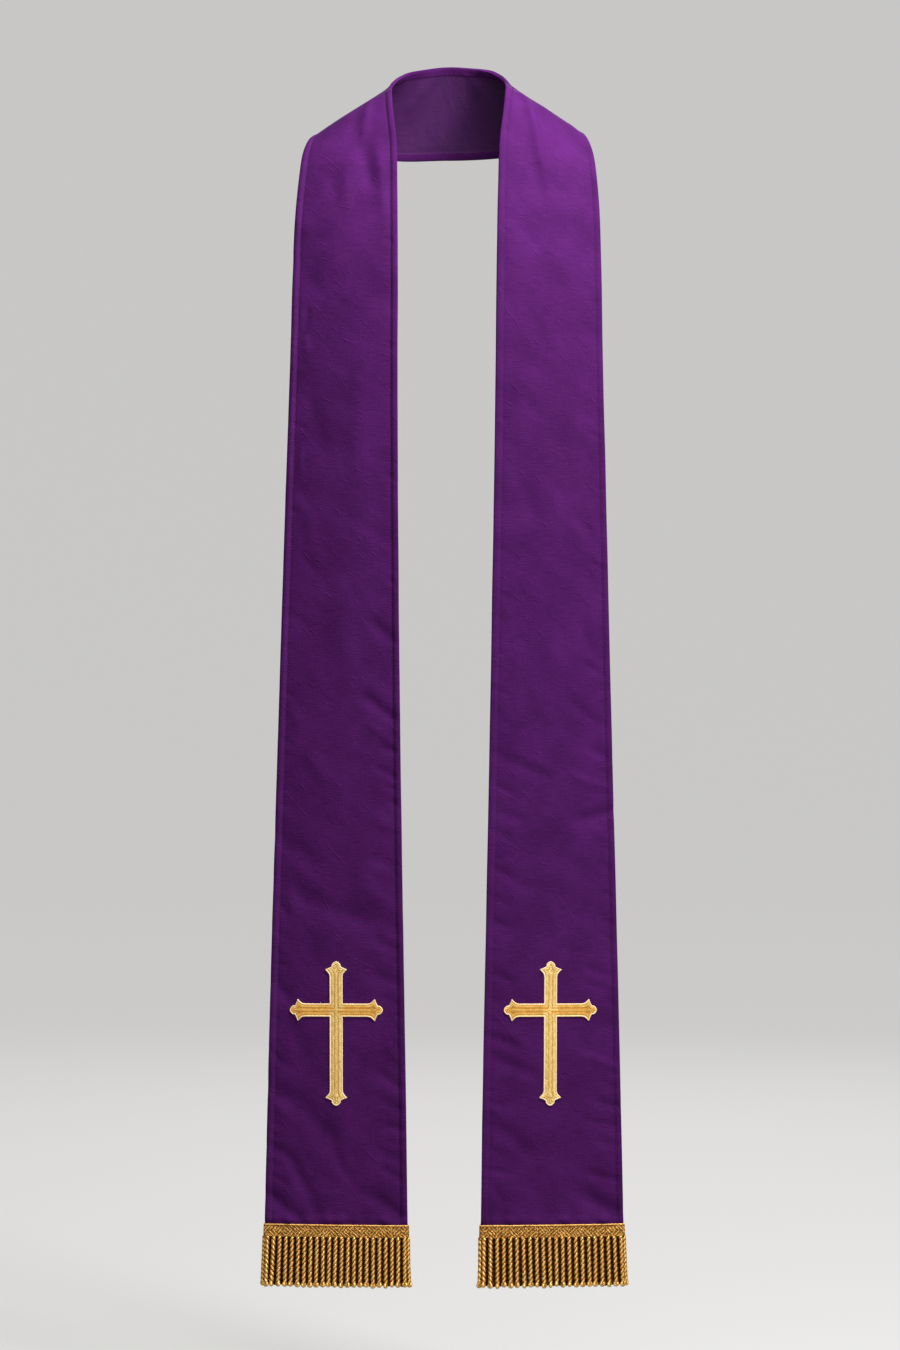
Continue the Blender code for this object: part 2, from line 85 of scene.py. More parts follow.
# Cross-sections of the half at +X in mm and degrees: place of the inner edge, cut width, how far the section
# swings round to the back, how far its outer edge dips, and how far its middle stands out.
Section = namedtuple("Section", "place x y z width turn dip crown")
SECTIONS = (
    Section("centre back", 0.0, 63.0, 29.0, 109.0, 90.0, 71.0, 3.0),
    Section("nape", 24.5, 59.5, 27.0, 109.0, 53.0, 66.0, 3.0),
    Section("back of the neck", 46.0, 46.0, 21.5, 108.5, 29.0, 56.0, 3.0),
    Section("back of the shoulder", 59.5, 24.0, 10.5, 107.5, 12.0, 45.0, 2.5),
    Section("shoulder", 64.0, 0.0, -1.0, 106.0, 0.0, 33.5, 2.0),
    Section("front of the shoulder", 63.5, -27.0, -10.5, 107.0, 1.0, 30.5, 2.0),
    Section("collarbone", 61.0, -55.0, -38.0, 109.5, 4.5, 23.5, 3.0),
    Section("upper chest", 57.0, -79.0, -73.0, 113.0, 7.5, 16.0, 4.0),
    Section("armhole", 55.5, -99.0, -126.0, 117.0, 9.5, 11.5, 5.0),
    Section("chest", 54.1, -117.0, -200.0, 120.5, 12.0, 8.0, 6.0),
    Section("below the chest", 53.6, -128.0, -300.0, 122.3, 12.5, 5.5, 6.0),
    Section("waist", 52.8, -133.0, -420.0, 125.6, 11.5, 3.8, 5.0),
    Section("hip", 51.1, -136.0, -560.0, 130.3, 10.0, 2.4, 4.5),
    Section("thigh", 49.5, -138.0, -680.0, 134.5, 8.7, 1.6, 4.0),
    Section("knee", 45.1, -141.0, -940.0, 145.4, 6.8, 0.6, 3.5),
    Section("below the knee", 41.9, -143.0, -1117.0, 152.6, 5.7, 0.2, 3.0),
    Section("hem", 39.6, -144.0, -1288.5, 158.6, 5.1, 0.0, 2.5),
)
SHOULDER = 4

# ---- folds ------------------------------------------------------------------------------------------------

# Troughs, and ridges with a depth below 0, along lines of places on the strip: mm down from the top of the
# shoulder and across from the inner edge. start and end are the shares of the depth left at the line's ends.
# Most of them run down to the right in both halves, as the cloth drags from its stitched edges.
Fold = namedtuple("Fold", "side depth half_width start end path")
FOLDS = (
    # Right shoulder and chest.
    Fold(RIGHT, -3.6, 6.5, 0.4, 0.2,
         ((6, 18), (26, 23), (40, 29), (62, 36), (82, 41), (104, 47), (130, 53), (160, 57))),
    Fold(RIGHT, -1.6, 5, 0.2, 0.2, ((20, 21), (40, 29), (60, 35), (80, 41))),
    Fold(RIGHT, -2.3, 8, 0.1, 0.1, ((10, 48), (28, 54), (48, 62), (66, 67), (92, 73))),
    Fold(RIGHT, -1.1, 7, 0.1, 0.1, ((6, 82), (30, 90), (56, 96))),
    Fold(RIGHT, 0.8, 7, 0.2, 0.1, ((36, 40), (60, 48), (84, 54))),
    Fold(RIGHT, -0.9, 12, 0.2, 0.2, ((228, 66), (250, 82), (270, 98))),
    Fold(RIGHT, 0.7, 8, 0.2, 0.2, ((258, 8), (284, 16), (312, 21))),
    Fold(RIGHT, 0.6, 6, 0.2, 0.3, ((286, 92), (297, 105), (304, 117))),
    Fold(RIGHT, -1.1, 9, 0.2, 0.2, ((336, 25), (380, 26), (424, 29))),
    Fold(RIGHT, -1.3, 14, 0.2, 0.2, ((416, 64), (440, 56), (470, 54), (500, 62), (532, 68))),
    Fold(RIGHT, 1.2, 10, 0.2, 0.2, ((448, 22), (474, 30), (502, 40), (524, 48))),
    Fold(RIGHT, 0.9, 6, 0.2, 0.3, ((502, 90), (518, 98), (530, 110))),
    Fold(RIGHT, -0.9, 6, 0.3, 0.5, ((500, 106), (514, 112), (534, 120))),
    Fold(RIGHT, -1.8, 14, 0.2, 0.2, ((622, 51), (648, 61), (674, 73), (700, 90))),
    Fold(RIGHT, -0.8, 8, 0.2, 0.2, ((646, 27), (676, 29), (704, 30))),
    Fold(RIGHT, 1.3, 6, 0.3, 0.4, ((616, 101), (640, 105), (652, 111), (666, 121))),
    Fold(RIGHT, 0.9, 5, 0.2, 0.5, ((672, 101), (677, 113), (682, 127))),
    Fold(RIGHT, 1.5, 7, 0.2, 0.5, ((706, 82), (720, 97), (732, 111), (740, 127))),
    Fold(RIGHT, 0.7, 4, 0.3, 0.2, ((735, 13), (742, 21), (750, 27))),
    Fold(RIGHT, 1.2, 6, 0.2, 0.8, ((762, 107), (769, 119), (775, 133))),
    Fold(RIGHT, 1.6, 7, 0.4, 0.2, ((773, 9), (780, 23), (788, 41), (796, 61), (801, 81))),
    Fold(RIGHT, -1.3, 5, 0.2, 0.7, ((793, 89), (802, 107), (808, 131))),
    Fold(RIGHT, 1.1, 5, 0.7, 0.2, ((807, 7), (812, 19), (819, 29))),
    Fold(RIGHT, 2.2, 7, 0.2, 0.9, ((847, 93), (843, 111), (838, 123), (834, 137))),
    Fold(RIGHT, -0.8, 6, 0.2, 0.4, ((850, 111), (860, 123), (868, 137))),
    Fold(RIGHT, 1.0, 6, 0.5, 0.2, ((835, 9), (841, 25), (847, 43))),
    Fold(RIGHT, 0.9, 5, 0.6, 0.2, ((858, 7), (862, 19), (868, 29))),
    Fold(RIGHT, 1.5, 6, 0.8, 0.2, ((897, 7), (903, 18), (913, 33))),
    Fold(RIGHT, 0.9, 7, 0.2, 0.2, ((914, 29), (919, 45), (919, 63))),
    Fold(RIGHT, 0.9, 5, 0.6, 0.2, ((929, 7), (934, 17), (941, 31))),
    Fold(RIGHT, 0.9, 4, 0.6, 0.2, ((960, 7), (961, 25))),
    Fold(RIGHT, 0.7, 5, 0.5, 0.2, ((988, 7), (993, 21))),
    Fold(RIGHT, 1.3, 6, 0.3, 0.2, ((1013, 7), (1018, 21), (1026, 37))),
    Fold(RIGHT, 1.2, 6, 0.2, 0.5, ((1004, 105), (1011, 121), (1016, 139))),
    Fold(RIGHT, 0.9, 5, 0.2, 0.4, ((1022, 111), (1029, 125), (1034, 139))),
    Fold(RIGHT, 0.9, 4, 0.6, 0.2, ((1041, 7), (1046, 19))),
    Fold(RIGHT, 1.6, 6, 0.8, 0.2, ((1083, 7), (1087, 19), (1091, 31), (1098, 41))),
    Fold(RIGHT, -0.9, 7, 0.2, 0.2, ((1070, 15), (1079, 31), (1092, 47), (1104, 59))),
    Fold(RIGHT, 1.9, 8, 0.4, 0.2, ((1105, 7), (1111, 23), (1117, 39), (1124, 53), (1130, 67))),
    Fold(RIGHT, 0.9, 4, 0.8, 0.2, ((1153, 7), (1157, 17), (1160, 27))),
    Fold(RIGHT, 2.3, 9, 0.7, 0.1, ((1178, 7), (1184, 20), (1192, 33), (1202, 45), (1217, 55), (1230, 62))),
    Fold(RIGHT, -0.9, 6, 0.5, 0.2, ((1196, 11), (1202, 23), (1214, 37))),
    Fold(RIGHT, 1.5, 5, 0.8, 0.2, ((1228, 7), (1230, 19), (1232, 31))),
    Fold(RIGHT, 1.1, 5, 0.5, 0.2, ((1240, 9), (1250, 16), (1260, 21), (1270, 27))),
    Fold(RIGHT, 1.0, 6, 0.2, 0.5, ((1090, 105), (1098, 117), (1104, 127))),
    Fold(RIGHT, -1.3, 5, 0.2, 0.8, ((1100, 115), (1109, 128), (1116, 143))),
    Fold(RIGHT, 0.9, 5, 0.2, 0.8, ((1130, 127), (1136, 139), (1140, 149))),
    Fold(RIGHT, 1.6, 5, 0.2, 1.0, ((1151, 123), (1157, 135), (1160, 149))),
    Fold(RIGHT, 1.1, 5, 0.2, 0.8, ((1172, 111), (1178, 127), (1181, 145))),
    Fold(RIGHT, 1.0, 5, 0.2, 0.8, ((1196, 125), (1201, 137), (1204, 149))),
    Fold(RIGHT, 1.7, 5.5, 0.2, 1.0, ((1230, 109), (1236, 127), (1241, 149))),
    Fold(RIGHT, 3.2, 9, 0.3, 1.0, ((1253, 109), (1261, 121), (1268, 133), (1276, 150))),
    # Left shoulder and chest.
    Fold(LEFT, -1.9, 6, 0.4, 0.2, ((8, 22), (30, 29), (60, 33), (80, 36), (96, 38))),
    Fold(LEFT, 1.2, 7, 0.3, 0.2, ((30, 46), (60, 48), (86, 52))),
    Fold(LEFT, 2.9, 8, 0.3, 0.2, ((82, 41), (100, 37), (118, 35), (138, 32), (160, 31))),
    Fold(LEFT, -1.6, 6, 0.3, 0.3, ((80, 24), (100, 22), (120, 19), (150, 16), (200, 14))),
    Fold(LEFT, 1.2, 9, 0.2, 0.2, ((110, 78), (130, 75), (154, 72))),
    Fold(LEFT, -1.4, 8, 0.2, 0.2, ((106, 57), (130, 57), (152, 57), (178, 56))),
    Fold(LEFT, -0.9, 8, 0.3, 0.2, ((156, 112), (176, 107), (194, 98))),
    Fold(LEFT, -1.3, 14, 0.2, 0.2, ((190, 84), (222, 71), (252, 55))),
    Fold(LEFT, 1.6, 12, 0.6, 0.2, ((216, 115), (244, 99), (270, 81))),
    Fold(LEFT, 1.0, 4, 0.2, 0.2, ((262, 103), (280, 103), (300, 106))),
    Fold(LEFT, -0.8, 4, 0.2, 0.2, ((300, 104), (326, 103))),
    Fold(LEFT, -1.2, 13, 0.2, 0.2, ((344, 42), (400, 44), (456, 43), (500, 39))),
    Fold(LEFT, 1.3, 10, 0.2, 0.2, ((350, 100), (392, 98), (424, 90), (448, 77))),
    Fold(LEFT, -0.9, 4, 0.3, 0.2, ((428, 108), (450, 110), (464, 109))),
    Fold(LEFT, 0.8, 7, 0.4, 0.2, ((470, 115), (484, 107), (500, 97))),
    Fold(LEFT, -0.8, 7, 0.3, 0.2, ((500, 103), (524, 98), (548, 94))),
    Fold(LEFT, 0.9, 8, 0.2, 0.6, ((516, 46), (530, 30), (540, 10))),
    Fold(LEFT, 0.8, 5, 0.3, 0.2, ((552, 108), (564, 98), (578, 88))),
    Fold(LEFT, -1.3, 14, 0.2, 0.2, ((590, 64), (640, 62), (692, 54))),
    Fold(LEFT, 0.7, 6, 0.4, 0.2, ((612, 118), (624, 110), (634, 100))),
    Fold(LEFT, 1.9, 7, 0.2, 1.0, ((620, 34), (635, 23), (648, 9))),
    Fold(LEFT, 2.8, 7, 0.2, 0.9, ((706, 48), (714, 33), (724, 22), (733, 9))),
    Fold(LEFT, -1.2, 5, 0.2, 0.8, ((738, 38), (748, 24), (760, 11))),
    Fold(LEFT, 0.8, 4, 0.2, 0.8, ((764, 24), (770, 10))),
    Fold(LEFT, 1.3, 5, 0.2, 0.9, ((782, 32), (790, 22), (798, 9))),
    Fold(LEFT, -0.9, 7, 0.5, 0.2, ((716, 124), (730, 118), (743, 108))),
    Fold(LEFT, -1.3, 9, 0.2, 0.2, ((768, 106), (790, 90), (812, 76))),
    Fold(LEFT, -0.8, 6, 0.2, 0.6, ((838, 34), (848, 22), (853, 11))),
    Fold(LEFT, 2.0, 12, 0.8, 0.2, ((864, 138), (873, 126), (880, 115), (889, 104), (897, 94), (904, 80))),
    Fold(LEFT, 1.2, 6, 0.2, 0.8, ((884, 38), (890, 24), (896, 10))),
    Fold(LEFT, 2.3, 12, 0.6, 0.6,
         ((912, 134), (922, 118), (933, 102), (942, 84), (945, 64), (951, 50), (956, 36), (963, 22),
          (968, 10))),
    Fold(LEFT, -1.3, 7, 0.3, 0.2, ((906, 126), (926, 124), (950, 122))),
    Fold(LEFT, -1.2, 8, 0.2, 0.6, ((904, 48), (920, 37), (932, 25), (942, 11))),
    Fold(LEFT, 0.9, 5, 0.8, 0.2, ((934, 138), (945, 132), (956, 126))),
    Fold(LEFT, 1.9, 7, 0.2, 0.9, ((972, 40), (980, 25), (987, 10))),
    Fold(LEFT, 1.3, 7, 0.2, 0.8, ((1010, 38), (1019, 24), (1025, 9))),
    Fold(LEFT, 1.0, 5, 0.2, 0.9, ((1037, 28), (1043, 16), (1047, 8))),
    Fold(LEFT, 1.8, 7, 0.8, 0.3, ((1025, 142), (1036, 133), (1047, 124))),
    Fold(LEFT, 2.1, 12, 0.3, 0.2, ((1060, 131), (1080, 123), (1097, 116), (1112, 108), (1124, 99))),
    Fold(LEFT, 1.1, 4, 0.8, 0.2, ((1096, 150), (1107, 143), (1114, 133), (1118, 123))),
    Fold(LEFT, 3.2, 13, 0.8, 0.1,
         ((1139, 152), (1145, 141), (1152, 127), (1163, 112), (1176, 100), (1190, 88), (1210, 78),
          (1229, 68))),
    Fold(LEFT, -0.9, 5, 0.8, 0.2, ((1150, 150), (1163, 140), (1173, 130))),
    Fold(LEFT, 0.9, 5, 0.2, 0.3,
         ((1180, 90), (1192, 82), (1206, 79), (1221, 75), (1237, 65), (1251, 57), (1262, 44))),
    Fold(LEFT, 2.3, 7, 0.9, 0.5,
         ((1205, 150), (1210, 138), (1219, 127), (1234, 121), (1247, 114), (1260, 106), (1274, 101))),
    Fold(LEFT, 0.8, 4, 0.8, 0.2, ((1236, 150), (1241, 140), (1248, 130))),
    Fold(LEFT, 2.6, 7, 0.8, 1.0, ((1258, 152), (1266, 141), (1273, 133), (1283, 123))),
    Fold(LEFT, 1.5, 6, 0.2, 0.9, ((1119, 31), (1127, 24), (1133, 16), (1137, 8))),
    Fold(LEFT, -1.1, 5, 0.3, 0.9, ((1088, 22), (1098, 16), (1106, 9))),
    Fold(LEFT, 1.4, 6, 0.2, 1.0, ((1149, 33), (1156, 22), (1162, 8))),
    Fold(LEFT, 1.4, 5, 0.2, 1.0, ((1179, 29), (1182, 19), (1184, 8))),
    Fold(LEFT, 0.9, 6, 0.2, 0.7, ((1204, 38), (1212, 22), (1218, 8))),
    Fold(LEFT, 1.4, 5, 0.2, 0.8, ((1224, 30), (1232, 20), (1238, 8))),
    Fold(LEFT, 2.3, 7, 0.2, 0.9, ((1250, 48), (1262, 32), (1270, 20), (1279, 8))),
    # Round the back of the neck, where the strip bends on the flat.
    Fold(RIGHT, 1.6, 8, 0.3, 0.1, ((-118, 12), (-96, 30), (-84, 62))),
    Fold(RIGHT, 1.3, 8, 0.2, 0.6, ((-70, 48), (-62, 78), (-50, 100))),
    Fold(RIGHT, 1.2, 7, 0.6, 0.1, ((-52, 6), (-44, 26), (-40, 44))),
    Fold(LEFT, 1.5, 8, 0.3, 0.1, ((-126, 14), (-104, 34), (-98, 58))),
    Fold(LEFT, 1.4, 8, 0.2, 0.6, ((-82, 52), (-70, 80), (-60, 102))),
    Fold(LEFT, 1.2, 7, 0.6, 0.1, ((-60, 6), (-50, 24), (-48, 46))),
)
CREST_CALM = 0.85             # the share of the folds that is smoothed away over the top of the shoulder
CREST_HALF_WIDTH = 16.0 * MM
FOLDS_END_ABOVE_BRAID = 1.0 * MM
FOLDS_FADE = 7.0 * MM
FOLD_TAPER = 0.35             # the share of a fold's length over which it fades at each end
FOLD_MARGIN = 60.0            # mm up and down the strip beyond which a fold isn't felt
DRIFT_WAVES = 16
DRIFT_STEEPNESS = 0.0011      # the height of a wave of the drift, as a share of its length

NECK_EDGE, SHOULDER_EDGE = 0, 1

# Along each edge: how far in the topstitching is, and how far the cloth stands up outside it.
EdgeBead = namedtuple("EdgeBead", "inset height")
EDGE_BEADS = {
    (LEFT, NECK_EDGE): EdgeBead(8.2 * MM, 1.9 * MM),
    (LEFT, SHOULDER_EDGE): EdgeBead(8.1 * MM, 2.6 * MM),
    (RIGHT, NECK_EDGE): EdgeBead(9.2 * MM, 2.8 * MM),
    (RIGHT, SHOULDER_EDGE): EdgeBead(7.3 * MM, 1.5 * MM),
}
BEAD_CALM = 0.75              # the share of the bead that is smoothed away over the top of the shoulder
BEAD_CALM_HALF_WIDTH = 32.0 * MM

# Small puckers along the topstitching: how many mm in from the edge they start, and where they are along each
# edge, in mm down from the top of the shoulder.
PUCKER_START = 4.0
Puckers = namedtuple("Puckers", "side edge places")
PUCKERS = (
    Puckers(LEFT, NECK_EDGE, (
        -70, -20, 214, 330, 472, 588, 664, 772, 812, 830, 862, 908, 1000, 1060, 1078, 1200,
    )),
    Puckers(LEFT, SHOULDER_EDGE, (
        -96, -40, 20, 330, 402, 498, 616, 700, 752, 826, 966, 988, 1002, 1062, 1088, 1176, 1190, 1222,
    )),
    Puckers(RIGHT, NECK_EDGE, (
        -84, -30, 196, 290, 404, 548, 596, 622, 660, 702, 722, 884, 950, 975, 1062, 1128, 1140, 1166, 1216,
    )),
    Puckers(RIGHT, SHOULDER_EDGE, (
        -60, 10, 160, 268, 420, 566, 596, 702, 880, 902, 931, 958, 980, 1050, 1072, 1126, 1216, 1252,
    )),
)

# Puffs where the braid gathers the hem: mm across from the inner edge, and how full each one is.
HEM_PUFFS = {
    LEFT: ((25, 1.0), (40, 0.4), (57, 0.6), (74, 0.9), (88, 0.9), (109, 0.8), (131, 1.3), (147, 0.6)),
    RIGHT: ((15, 0.5), (32, 0.9), (46, 0.6), (60, 0.6), (78, 0.4), (92, 0.9), (112, 0.6), (136, 1.3)),
}

# ---- fineness ---------------------------------------------------------------------------------------------

ROW_STEP = 2.4 * MM           # between the cloth's rows of points, down the strip
# Columns of points across the cloth: mm in from each edge, and how many are between them, for its outer face
# and for its lined side.
EDGE_INSETS = (
    0.0, 0.12, 0.45, 0.95, 1.6, 2.3, 3.1, 4.1, 5.1, 6.0, 6.6, 7.1, 7.6, 8.1, 8.6, 9.2, 9.9, 11.0, 12.6,
)
MIDDLE_COLUMNS = 40
LINING_INSETS = (0.45, 1.6, 4.0, 7.6, 9.0, 9.5, 11.5)
LINING_COLUMNS = 11
TURN_IN = 9.2 * MM            # how far the face cloth is turned in over the lining's edge
ROLL_WIDTH = 2.6 * MM         # how far in the roll of an edge begins


# ---- the surface ------------------------------------------------------------------------------------------

def section_table():
    """The sections as one array in metres and radians, a row for each."""
    degree = math.radians(1)
    units = np.array([MM, MM, MM, MM, degree, degree, MM])
    return np.array([row[1:] for row in SECTIONS]) * units


def section_middles(table):
    """The middle of each section, halfway across the strip."""
    x, y, z, width, turn, dip, _ = table.T
    half = width / 2
    return np.stack([
        x + half * np.cos(dip) * np.cos(turn),
        y + half * np.cos(dip) * np.sin(turn),
        z - half * np.sin(dip),
    ], axis=1)


def distances_along(points):
    """How far each point is along the line through them all."""
    return np.concatenate([[0.0], np.cumsum(np.linalg.norm(np.diff(points, axis=0), axis=1))])


TABLE = section_table()
KNOTS = distances_along(section_middles(TABLE))
LENGTH = KNOTS[-1]
SHOULDER_AT = KNOTS[SHOULDER]
BRAID_TOP = LENGTH + BRAID_OVERHANG - BRAID_HEIGHT
NECK_HALF_WIDTH = TABLE[SHOULDER, 0]


def knot_slopes():
    """How fast each column of the table changes along the strip, at each section."""
    steps = np.diff(KNOTS)[:, None]
    rates = np.diff(TABLE, axis=0) / steps
    slopes = np.empty_like(TABLE)
    slopes[1:-1] = (rates[1:] * steps[:-1] + rates[:-1] * steps[1:]) / (steps[1:] + steps[:-1])
    slopes[0] = rates[0]
    slopes[-1] = rates[-1]
    slopes[0, [1, 2, 3, 5, 6]] = 0.0    # the halves mirror each other at the centre back
    return slopes


SLOPES = knot_slopes()


def section_at(s):
    """The table's columns at distances s, on a smooth curve through its rows."""
    s = np.clip(s, 0.0, LENGTH)
    i = np.clip(np.searchsorted(KNOTS, s, side="right") - 1, 0, len(KNOTS) - 2)
    step = KNOTS[i + 1] - KNOTS[i]
    u = ((s - KNOTS[i]) / step)[..., None]
    step = step[..., None]
    return (
        (1 + 2 * u) * (1 - u) ** 2 * TABLE[i]
        + u * (1 - u) ** 2 * step * SLOPES[i]
        + u ** 2 * (3 - 2 * u) * TABLE[i + 1]
        + u ** 2 * (u - 1) * step * SLOPES[i + 1]
    )


def width_at(s):
    return section_at(s)[..., 3]


def ruled(s, a):
    """Points a metres across the straight section at s, running on past the centre back and the hem."""
    x, y, z, _, turn, dip, _ = np.moveaxis(section_at(np.abs(s)), -1, 0)
    mirror = np.where(s < 0, -1.0, 1.0)
    below = np.maximum(s - LENGTH, 0.0)
    return np.stack([
        mirror * (x + a * np.cos(dip) * np.cos(turn)),
        y + a * np.cos(dip) * np.sin(turn),
        z - a * np.sin(dip) - below,
    ], axis=-1)


def unit(vectors):
    return vectors / np.linalg.norm(vectors, axis=-1, keepdims=True)


def outward(s, a):
    """Unit vectors that point out of the cloth's face."""
    along = ruled(s + MM, a) - ruled(s - MM, a)
    across = ruled(s, a + MM) - ruled(s, a - MM)
    return unit(np.cross(along, across))


def smooth_step(share):
    share = np.clip(share, 0.0, 1.0)
    return share * share * (3 - 2 * share)


def bell(distance, half_width):
    return np.exp(-(distance / half_width) ** 2)


def place(side, points):
    """Moves points of the +X half to either half, as the solids are moved."""
    x, y, z = np.moveaxis(points, -1, 0)
    x = np.maximum(x, -GAP / 2)   # the halves meet at the centre back
    if side == LEFT:
        off_the_seam = smooth_step(x / NECK_HALF_WIDTH)
        near_the_top = smooth_step(1 + z / SHOULDER_DROP_FADES)
        z = z - LEFT_SHOULDER_DROP * off_the_seam * near_the_top
    down = np.clip(-z / FRONT_DROP, 0.0, 1.0)
    sway = HEM_SWAY * down * (2 - down)
    return np.stack([side * (x + GAP / 2) + sway, y, z], axis=-1)


def round_corners(path):
    """The same line with its corners cut off twice."""
    for _ in range(2):
        cut = np.stack([path[:-1] * 0.75 + path[1:] * 0.25, path[:-1] * 0.25 + path[1:] * 0.75], axis=1)
        path = np.concatenate([path[:1], cut.reshape(-1, 2), path[-1:]])
    return path


def fold_press(fold, down, across):
    """How far one fold pushes the cloth in, at places in mm."""
    path = round_corners(np.array(fold.path, float))
    steps = np.diff(path, axis=0)
    lengths = np.linalg.norm(steps, axis=1)
    nearest = np.full(down.shape, np.inf)
    reach = np.zeros(down.shape)
    run = 0.0
    for start, step, length in zip(path, steps, lengths):
        to_down, to_across = down - start[0], across - start[1]
        share = np.clip((to_down * step[0] + to_across * step[1]) / length ** 2, 0.0, 1.0)
        distance = np.hypot(to_down - share * step[0], to_across - share * step[1])
        closer = distance < nearest
        nearest = np.where(closer, distance, nearest)
        reach = np.where(closer, (run + share * length) / lengths.sum(), reach)
        run += length
    strength = fold.start + (1 - fold.start) * smooth_step(reach / FOLD_TAPER)
    strength *= fold.end + (1 - fold.end) * smooth_step((1 - reach) / FOLD_TAPER)
    return fold.depth * strength * bell(nearest, fold.half_width)


def pucker_folds():
    """The puckers as short folds from the stitching, down to the right in both halves, uneven in slant,
    length and depth."""
    random = np.random.default_rng(11)
    folds = []
    for side, edge, places in PUCKERS:
        inwards_is_right = (side == LEFT) == (edge == SHOULDER_EDGE)
        for down in places:
            slant = math.radians(random.uniform(12, 44)) * (1 if inwards_is_right else -1)
            length = random.uniform(10, 22)
            depth = random.uniform(0.35, 0.8)
            half_width = random.uniform(2.8, 4.2)
            width = float(width_at(SHOULDER_AT + down * MM)) / MM
            inner = PUCKER_START + length * math.cos(slant)
            across = (PUCKER_START, inner) if edge == NECK_EDGE else (width - PUCKER_START, width - inner)
            path = ((down, across[0]), (down + length * math.sin(slant), across[1]))
            folds.append(Fold(side, depth, half_width, 0.7, 0.0, path))
    return folds


ALL_FOLDS = list(FOLDS) + pucker_folds()


def drift(side, down, across):
    """Broad, shallow unevenness of the hanging cloth, in mm."""
    random = np.random.default_rng(5 if side == RIGHT else 6)
    height = np.zeros(np.broadcast(down, across).shape)
    for _ in range(DRIFT_WAVES):
        heading = random.uniform(0, math.pi)
        wavelength = random.uniform(38, 150)
        phase = random.uniform(0, 2 * math.pi)
        size = DRIFT_STEEPNESS * wavelength
        travel = down * math.cos(heading) + across * math.sin(heading)
        height += size * np.sin(2 * math.pi * travel / wavelength + phase)
    return height


def relief(side, s, a):
    """How far the folds, puckers, puffs and drift lift the cloth off its smooth form, in metres."""
    down = (s - SHOULDER_AT) / MM
    across = a / MM
    down, across = np.broadcast_arrays(down, across)
    height = drift(side, down, across)
    for fold in ALL_FOLDS:
        if fold.side != side:
            continue
        path = np.array(fold.path)
        near = (down > path[:, 0].min() - FOLD_MARGIN) & (down < path[:, 0].max() + FOLD_MARGIN)
        height[near] -= fold_press(fold, down[near], across[near])
    height *= 1 - CREST_CALM * bell(s - SHOULDER_AT, CREST_HALF_WIDTH)
    height *= smooth_step((BRAID_TOP - FOLDS_END_ABOVE_BRAID - s) / FOLDS_FADE)
    height *= smooth_step(np.abs(s) / (12 * MM))
    above_braid = (BRAID_TOP - s) / MM
    swelling = 3.0 * bell(above_braid - 4.5, 4.2) + 1.0 * bell(above_braid - 9.0, 9.0)
    for middle, fullness in HEM_PUFFS[side]:
        height += fullness * swelling * bell(across - middle, 6.0)
    return height * smooth_step((above_braid + 5) / 6) * MM


def surface(side, s, a, lift=0.0):
    """Points on one half of the stole, lift metres off the middle of its cloth."""
    s, a, lift = np.broadcast_arrays(np.asarray(s, float), np.asarray(a, float), np.asarray(lift, float))
    section = section_at(np.abs(s))
    t = a / section[..., 3]
    crown = section[..., 6] * np.clip(4 * t * (1 - t), 0.0, 1.0)
    return place(side, ruled(s, a) + outward(s, a) * (crown + relief(side, s, a) + lift)[..., None])


# ---- meshes -----------------------------------------------------------------------------------------------

# A grid of points with a map of the same shape. skin is its material's number, or one for each of its faces.
Grid = namedtuple("Grid", "points uv skin")


def grid_quads(rows, columns, start=0):
    """The corners' numbers for each face of a grid of points."""
    index = start + np.arange(rows * columns).reshape(rows, columns)
    return np.stack([index[:-1, :-1], index[:-1, 1:], index[1:, 1:], index[1:, :-1]], axis=-1)


def make_piece(name, grids, uv_name, materials, sharp=50):
    """One mesh from grids of quads, welded where they touch, with its holes filled and its faces outwards."""
    points, uvs, quads, skins = [], [], [], []
    start = 0
    for grid in grids:
        rows, columns = grid.points.shape[:2]
        quad = grid_quads(rows, columns, start)
        points.append(grid.points.reshape(-1, 3))
        uvs.append(grid.uv.reshape(-1, 2))
        quads.append(quad.reshape(-1, 4))
        skins.append(np.broadcast_to(grid.skin, quad.shape[:2]).ravel())
        start += rows * columns
    points, uvs = np.concatenate(points), np.concatenate(uvs)
    quads, skins = np.concatenate(quads), np.concatenate(skins)

    mesh = bpy.data.meshes.new(name)
    mesh.vertices.add(len(points))
    mesh.vertices.foreach_set("co", points.astype(np.float32).ravel())
    mesh.loops.add(quads.size)
    mesh.loops.foreach_set("vertex_index", quads.astype(np.int32).ravel())
    mesh.polygons.add(len(quads))
    mesh.polygons.foreach_set("loop_start", np.arange(0, quads.size, 4, dtype=np.int32))
    mesh.update(calc_edges=True)
    layer = mesh.uv_layers.new(name=uv_name)
    layer.uv.foreach_set("vector", uvs[quads.ravel()].astype(np.float32).ravel())
    mesh.polygons.foreach_set("material_index", skins.astype(np.int32))
    for material in materials:
        mesh.materials.append(material)

    bm = bmesh.new()
    bm.from_mesh(mesh)
    bmesh.ops.remove_doubles(bm, verts=bm.verts, dist=2e-6)
    bmesh.ops.holes_fill(bm, edges=[edge for edge in bm.edges if edge.is_boundary])
    bmesh.ops.recalc_face_normals(bm, faces=bm.faces)
    bm.to_mesh(mesh)
    bm.free()
    mesh.shade_smooth()
    mesh.set_sharp_from_angle(angle=math.radians(sharp))
    thing = bpy.data.objects.new(name, mesh)
    bpy.context.scene.collection.objects.link(thing)
    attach(thing, "root")
    return thing


